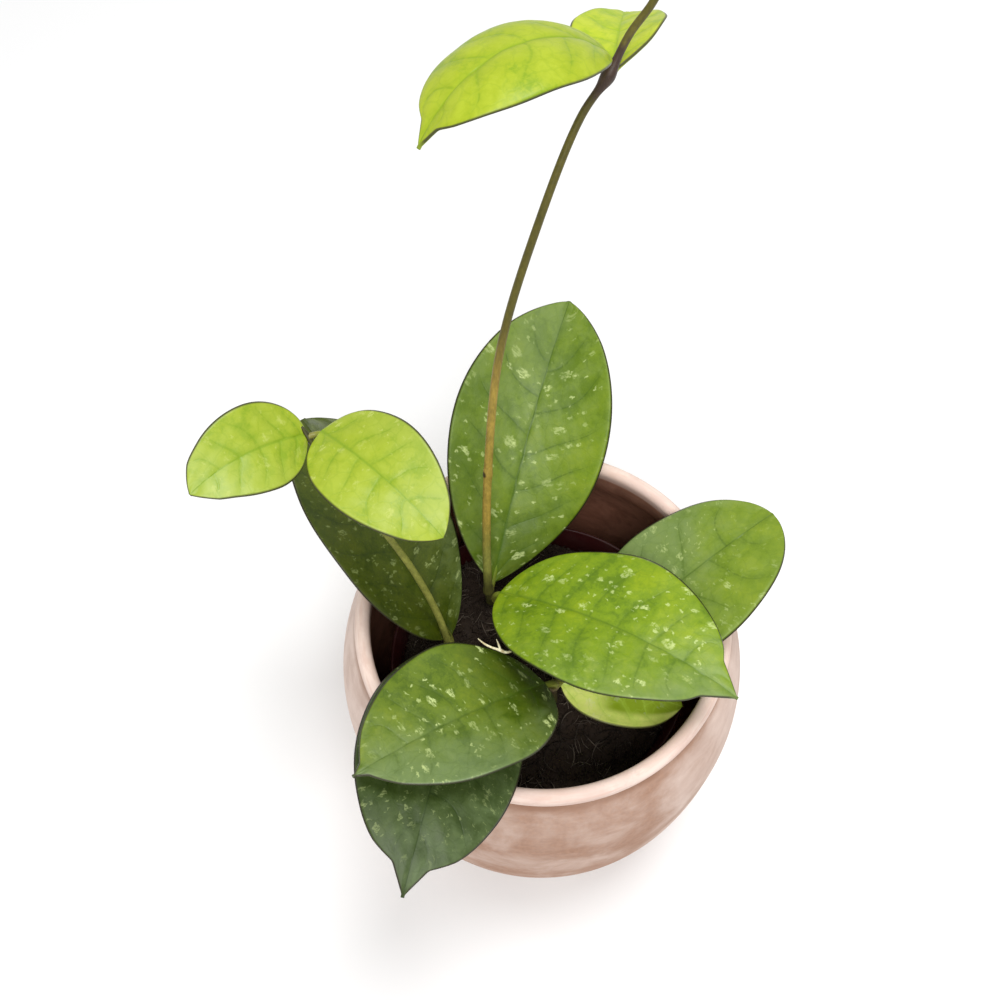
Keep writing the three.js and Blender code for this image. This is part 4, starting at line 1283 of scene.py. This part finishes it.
class Blade(Surface):
    """A leaf's material under construction, with what its patterns share.

    Places are on the blade laid flat, in millimetres, and veins are counted along it.
    """

    def __init__(self, leaf, colours):
        super().__init__(leaf["name"].replace("_", " "))
        self.leaf = leaf
        self.length_mm = leaf["length"]
        self.spacing = leaf["length"] / leaf["veins"]
        self.group = GROUPS[leaf["group"]]
        self.base = getattr(colours, "leaf_" + leaf["group"])
        self.young = self.group["slot"] == "leaf_lime"
        flat = self.add("ShaderNodeUVMap", uv_map="flat").outputs[0]
        self.spot = self.vector("MULTIPLY_ADD", flat, (FLAT_SCALE, FLAT_SCALE, 1),
                                (0, -FLAT_SCALE / 2, self.length_mm))
        self.x, self.y = self.axes(self.spot)["X"], self.axes(self.spot)["Y"]
        pattern = self.axes(self.add("ShaderNodeUVMap", uv_map="veins").outputs[0])
        self.phase = self.times(pattern["X"], PHASE_SCALE)
        self.side = self.times_plus(pattern["Y"], 2, -1)
        self.across = self.math("ABSOLUTE", self.side)
        self.from_rib = self.math("ABSOLUTE", self.y)
        self.beat = self.math("ABSOLUTE", self.centred(self.math("FRACT", self.phase)))
        self.clouds = self.noise(self.spot, 0.17, 4, 0.62, 0.5)
        self.toward_tip = self.stretch_of(0.8, 0.93, 1, 0)
        self.line = self.side_veins()

    def stretch_of(self, low, high, start=0.0, end=1.0):
        """Moves from start to end between two shares of the blade's length."""
        return self.span(self.x, low * self.length_mm, high * self.length_mm, start, end)

    def colour_scaled(self, grown, young):
        """The leaf's own colour times the factors for a grown or for a young leaf."""
        return scaled(self.base, *(young if self.young else grown))

    def side_veins(self):
        """Thin lines along the side veins, and keeps how far a place is from one."""
        self.from_vein = self.times(self.beat, self.spacing)
        jitter = self.noise(self.spot, 0.8, 2, 0.5)
        width = self.span(self.across, 0, 1, 0.3, 0.14)
        self.strength = self.times(self.span(self.across, 0.6, 0.96, 1, 0),
                                   self.span(jitter, 0.28, 0.6, 0.3, 1), self.toward_tip)
        low, high = self.times(width, 0.3), self.times(width, 2)
        return self.times(self.span(self.from_vein, low, high, 1, 0), self.strength)

    def net(self):
        """Faint network of small veins."""
        wander = self.add("ShaderNodeTexNoise", {"Vector": self.spot, "Scale": 0.35})
        moved = self.stretch(wander.outputs["Color"], (2.5, 2.5, 0))
        cells = self.cells(self.vector("ADD", self.spot, moved), 0.2, feature="DISTANCE_TO_EDGE")
        return self.span(cells.outputs["Distance"], 0.008, 0.06, 1, 0)


def mottling(blade):
    """Soft mottling from a deeper tone by the veins to a yellower one between them, with painted
    shade.
    """
    level = blade.times_plus(blade.clouds, 0.75, blade.noise(blade.spot, 0.05, 2, 0.5))
    level = blade.times_plus(blade.beat, 0.26, level)
    freckle = blade.noise(blade.spot, 0.5, 5, 0.72, 0.4)
    level = blade.times_plus(blade.centred(freckle), 0.85, level)
    base, mottled = blade.base, blade.group["mottled"]
    deep = toned(base, mottled, (0.62, 0.78, 0.42) if blade.young else (0.62, 0.7, 0.38))
    ripe = toned(base, mottled, (1.15, 1.12, 1.8) if blade.young else (1.34, 1.2, 0.9))
    colour = blade.blend(level, 0.68, 0.95, deep, base)
    colour = blade.blend(level, 0.92, 1.22, colour, ripe)
    # Painted shade, darkening the blade towards its base under the leaves above
    base_painted_shade = blade.stretch_of(0, 0.45, blade.leaf["shade"], 0)
    colour = blade.mix(base_painted_shade, colour, scaled(deep, 0.2, 0.22, 0.1))
    # Painted shadow of the middle leaf on the curled leaf's inner part
    if blade.leaf["group"] == "pale":
        inner = blade.times(blade.span(blade.side, -0.7, -0.46), blade.stretch_of(0.24, 0.44))
        colour = blade.mix(inner, colour, scaled(base, 0.36, 0.46, 0.07))
    return colour


def waxed_with_sheen(blade, colour, bloom_and_sheen):
    """Adds greyish waxy bloom with painted sheen of reflected light, more of it towards one end and
    one side of the blade.
    """
    near, toward, shift = blade.leaf["bloom_and_sheen"]
    wax_and_sheen = blade.times_plus(blade.x, near / blade.length_mm, shift)
    wax_and_sheen = blade.times_plus(blade.side, toward, wax_and_sheen)
    wax_and_sheen = blade.times_plus(blade.centred(blade.clouds), 0.9, wax_and_sheen)
    return blade.mix(blade.span(wax_and_sheen, 0.15, 1.05, 0, 0.66), colour, bloom_and_sheen)


def veined(blade, colour, net):
    """Adds the net, the soft dark borders of the veins, the side veins and the midrib."""
    half = blade.span(blade.x, 0, blade.length_mm, 0.42, 0.14)
    rib = blade.span(blade.from_rib, blade.times(half, 0.3), blade.times(half, 1.6), 1, 0)
    border = blade.times(blade.span(blade.from_vein, 0, 2.4, 0.24, 0), blade.strength)
    border = blade.math("MAXIMUM", border, blade.span(blade.from_rib, 0, 2.2, 0.24, 0))
    dark = blade.colour_scaled((0.36, 0.48, 0.36), (0.6, 0.76, 0.4))
    much = blade.group["veined"]
    for mark, strength in ((net, 0.2 if blade.young else 0.12), (border, much),
                           (blade.line, 0.42 * much), (rib, 0.52 * much)):
        colour = blade.mix(blade.times(mark, strength), colour, dark)
    return colour


def flecks(blade):
    """Silvery blots and specks, drawn out a little along the side veins."""
    leaning = blade.times_plus(blade.phase, 0.3 * blade.spacing, blade.times(blade.x, 0.7))
    drawn = blade.join(leaning, blade.y, blade.length_mm)
    tangle = blade.add("ShaderNodeTexNoise", {"Vector": drawn, "Scale": 0.9, "Detail": 3.0})
    loose = blade.vector("SUBTRACT", tangle.outputs["Color"], (0.5, 0.5, 0.5))
    loose = blade.vector("MULTIPLY_ADD", loose, (2.6, 2.6, 0), drawn)
    long, wide = blade.leaf["fineness"]
    blots = blade.random_spots(blade.stretch(loose, (0.27 * long, 0.2 * wide, 0)), 0.36, 0.38, 0.14)
    specks = blade.random_spots(blade.stretch(loose, (0.7 * long, 0.5 * wide, 0)), 0.24, 0.34, 0.2)
    tear = blade.noise(blade.stretch(drawn, (1.7 * long, 0.7 * wide, 1)), 1.0, 3, 0.65)
    torn = blade.times(blots, blade.span(tear, 0.36, 0.6))
    crowd = blade.span(blade.noise(blade.spot, 0.07, 2, 0.5), 0.36, 0.62, 0.35, 1.25)
    fleck = blade.times(blade.math("MAXIMUM", torn, blade.times(specks, 0.7)),
                        blade.times(crowd, blade.leaf["splash"]),
                        blade.span(blade.from_rib, 0.3, 1.1))
    fading = blade.times_plus(blade.toward_tip, 0.7, 0.3)
    return blade.times(blade.math("MINIMUM", fleck, 1), fading)


def edged(blade, colour, under, margin):
    """Adds the thin dark line round the blade, weaker underneath and at a drawn-out tip."""
    edge = blade.span(blade.attribute("edge_mm"), 0.15, 0.7, 0.9, 0)
    if blade.leaf["acumen"] > DRAWN_OUT:
        length = blade.length_mm
        edge = blade.times(edge, blade.span(blade.x, length - 2.2, length - 0.8, 1, 0.4))
    edge = blade.times(edge, blade.times_plus(under, -0.6, 1))
    return blade.mix(edge, colour, margin)


def leaf_finish(leaf, colours):
    """Waxy blade: mottling, painted shade and sheen, veins, silvery splashes, a thin dark edge and a
    paler underside.
    """
    blade = Blade(leaf, colours)
    base, clouds, net = blade.base, blade.clouds, blade.net()
    bloom_and_sheen = scaled(base, 1.12, 1.1, 3.2) if blade.young else colours.bloom_and_sheen
    splash = scaled(base, 1.55, 1.36, 7) if blade.young else colours.splash
    fleck = flecks(blade)
    upper = veined(blade, waxed_with_sheen(blade, mottling(blade), bloom_and_sheen), net)
    upper = blade.mix(blade.times(fleck, 0.74), upper, splash)
    lower = blade.blend(clouds, 0.35, 0.65, scaled(base, 0.95, 1.0, 1.5),
                        scaled(base, 1.15, 1.15, 1.9))
    lower = blade.mix(blade.times(blade.line, 0.4), lower, scaled(base, 1.3, 1.25, 1.8))
    under = blade.attribute("under")
    skin = edged(blade, blade.mix(under, upper, lower), under, colours.margin)
    stalk = blade.blend(blade.x, -STALK_LENGTH, 0, scaled(colours.stem_green, 0.8, 0.72, 0.7),
                        scaled(base, 0.85, 0.85, 0.9))
    skin = blade.mix(blade.attribute("stalk"), skin, stalk)

    relief = blade.times_plus(blade.noise(blade.spot, 1.5, 4, 0.6), 0.5, blade.times(net, -0.15))
    relief = blade.times_plus(blade.line, -0.5, relief)
    rough = blade.times_plus(fleck, 0.1, blade.span(clouds, 0.3, 0.7, 0.38, 0.48))
    return blade.finish(skin, rough, blade.bump(relief, 0.12 * MM, 0.5),
                        Specular_IOR_Level=blade.group["gloss"], Coat_Weight=0.04,
                        Coat_Roughness=0.3)


class HOYA_OT_make_leaves(bpy.types.Operator):
    """Makes the leaves with their stalks, veins and splashes"""

    bl_idname = "hoya.make_leaves"
    bl_label = "Make the leaves"

    def execute(self, context):
        scene = context.scene
        for leaf in LEAVES:
            piece = leaf_object(leaf, scene.hoya_sizes)
            piece.data.materials.append(leaf_finish(leaf, scene.hoya_colours))
            settle(piece, GROUPS[leaf["group"]]["slot"], leaf["name"])
        return {"FINISHED"}


# Stage


def soft_light(name, place, size, power):
    """Round area light that shines on the plant."""
    light = bpy.data.lights.new(name, "AREA")
    light.shape = "DISK"
    light.size = size
    light.energy = power
    lamp = link_object(name, light)
    lamp.location = place
    lamp.rotation_euler = (Vector(LIGHT_AIM) - Vector(place)).to_track_quat("-Z", "Y").to_euler()


def photo_camera():
    """Camera at the photograph's viewing angle."""
    down = math.radians(CAMERA_DOWN)
    roll = math.radians(CAMERA_ROLL)
    ahead = Vector((0, math.cos(down), -math.sin(down)))
    level = Vector((1, 0, 0))
    upward = level.cross(ahead)
    right = level * math.cos(roll) + upward * math.sin(roll)
    top = upward * math.cos(roll) - level * math.sin(roll)
    camera = bpy.data.cameras.new("photo camera")
    camera.lens = CAMERA_LENS
    camera.sensor_width = CAMERA_SENSOR
    viewer = link_object("photo camera", camera)
    turn = Matrix((right, top, -ahead)).transposed().to_4x4()
    viewer.matrix_world = Matrix.Translation(Vector(CAMERA_PLACE) * MM) @ turn
    bpy.context.scene.camera = viewer


def floor_finish():
    surface = Surface("pale floor")
    return surface.finish((*FLOOR_WHITE, 1), 0.9, Specular_IOR_Level=0.1)


def studio_world():
    """Even white light from all sides."""
    world = bpy.data.worlds.new("studio")
    world.use_nodes = True
    background = world.node_tree.nodes["Background"]
    background.inputs["Color"].default_value = (1, 1, 1, 1)
    background.inputs["Strength"].default_value = WORLD_STRENGTH
    return world


class HOYA_OT_make_stage(bpy.types.Operator):
    """Sets the pale floor, the studio light and the camera"""

    bl_idname = "hoya.make_stage"
    bl_label = "Set the stage"

    def execute(self, context):
        r = FLOOR_REACH
        corners = [(-r, -r, 0), (r, -r, 0), (r, r, 0), (-r, r, 0)]
        floor = new_object("floor", corners, [(0, 1, 2, 3)], smooth=False)
        floor.data.materials.append(floor_finish())
        context.scene.world = studio_world()
        context.scene.view_settings.view_transform = "Standard"
        for name, light in LIGHTS.items():
            soft_light(name, **light)
        photo_camera()
        return {"FINISHED"}


class HOYA_PT_parts(bpy.types.Panel):
    """Sidebar panel that lists the pieces"""

    bl_label = "Potted hoya"
    bl_idname = "HOYA_PT_parts"
    bl_space_type = "VIEW_3D"
    bl_region_type = "UI"
    bl_category = "Hoya"

    def draw(self, context):
        for operator in OPERATORS:
            self.layout.operator(operator.bl_idname)


OPERATORS = (HOYA_OT_make_pot, HOYA_OT_make_nursery_pot, HOYA_OT_make_soil, HOYA_OT_make_stems,
             HOYA_OT_make_leaves, HOYA_OT_make_stage)
CLASSES = (HoyaColours, HoyaSizes, *OPERATORS, HOYA_PT_parts)


def register():
    for cls in CLASSES:
        bpy.utils.register_class(cls)
    bpy.types.Scene.hoya_colours = PointerProperty(type=HoyaColours)
    bpy.types.Scene.hoya_sizes = PointerProperty(type=HoyaSizes)


def unregister():
    del bpy.types.Scene.hoya_sizes
    del bpy.types.Scene.hoya_colours
    for cls in reversed(CLASSES):
        bpy.utils.unregister_class(cls)


def main():
    register()
    bpy.ops.hoya.make_pot()
    bpy.ops.hoya.make_nursery_pot()
    bpy.ops.hoya.make_soil()
    bpy.ops.hoya.make_stems()
    bpy.ops.hoya.make_leaves()
    bpy.ops.hoya.make_stage()


if __name__ == "__main__":
    main()
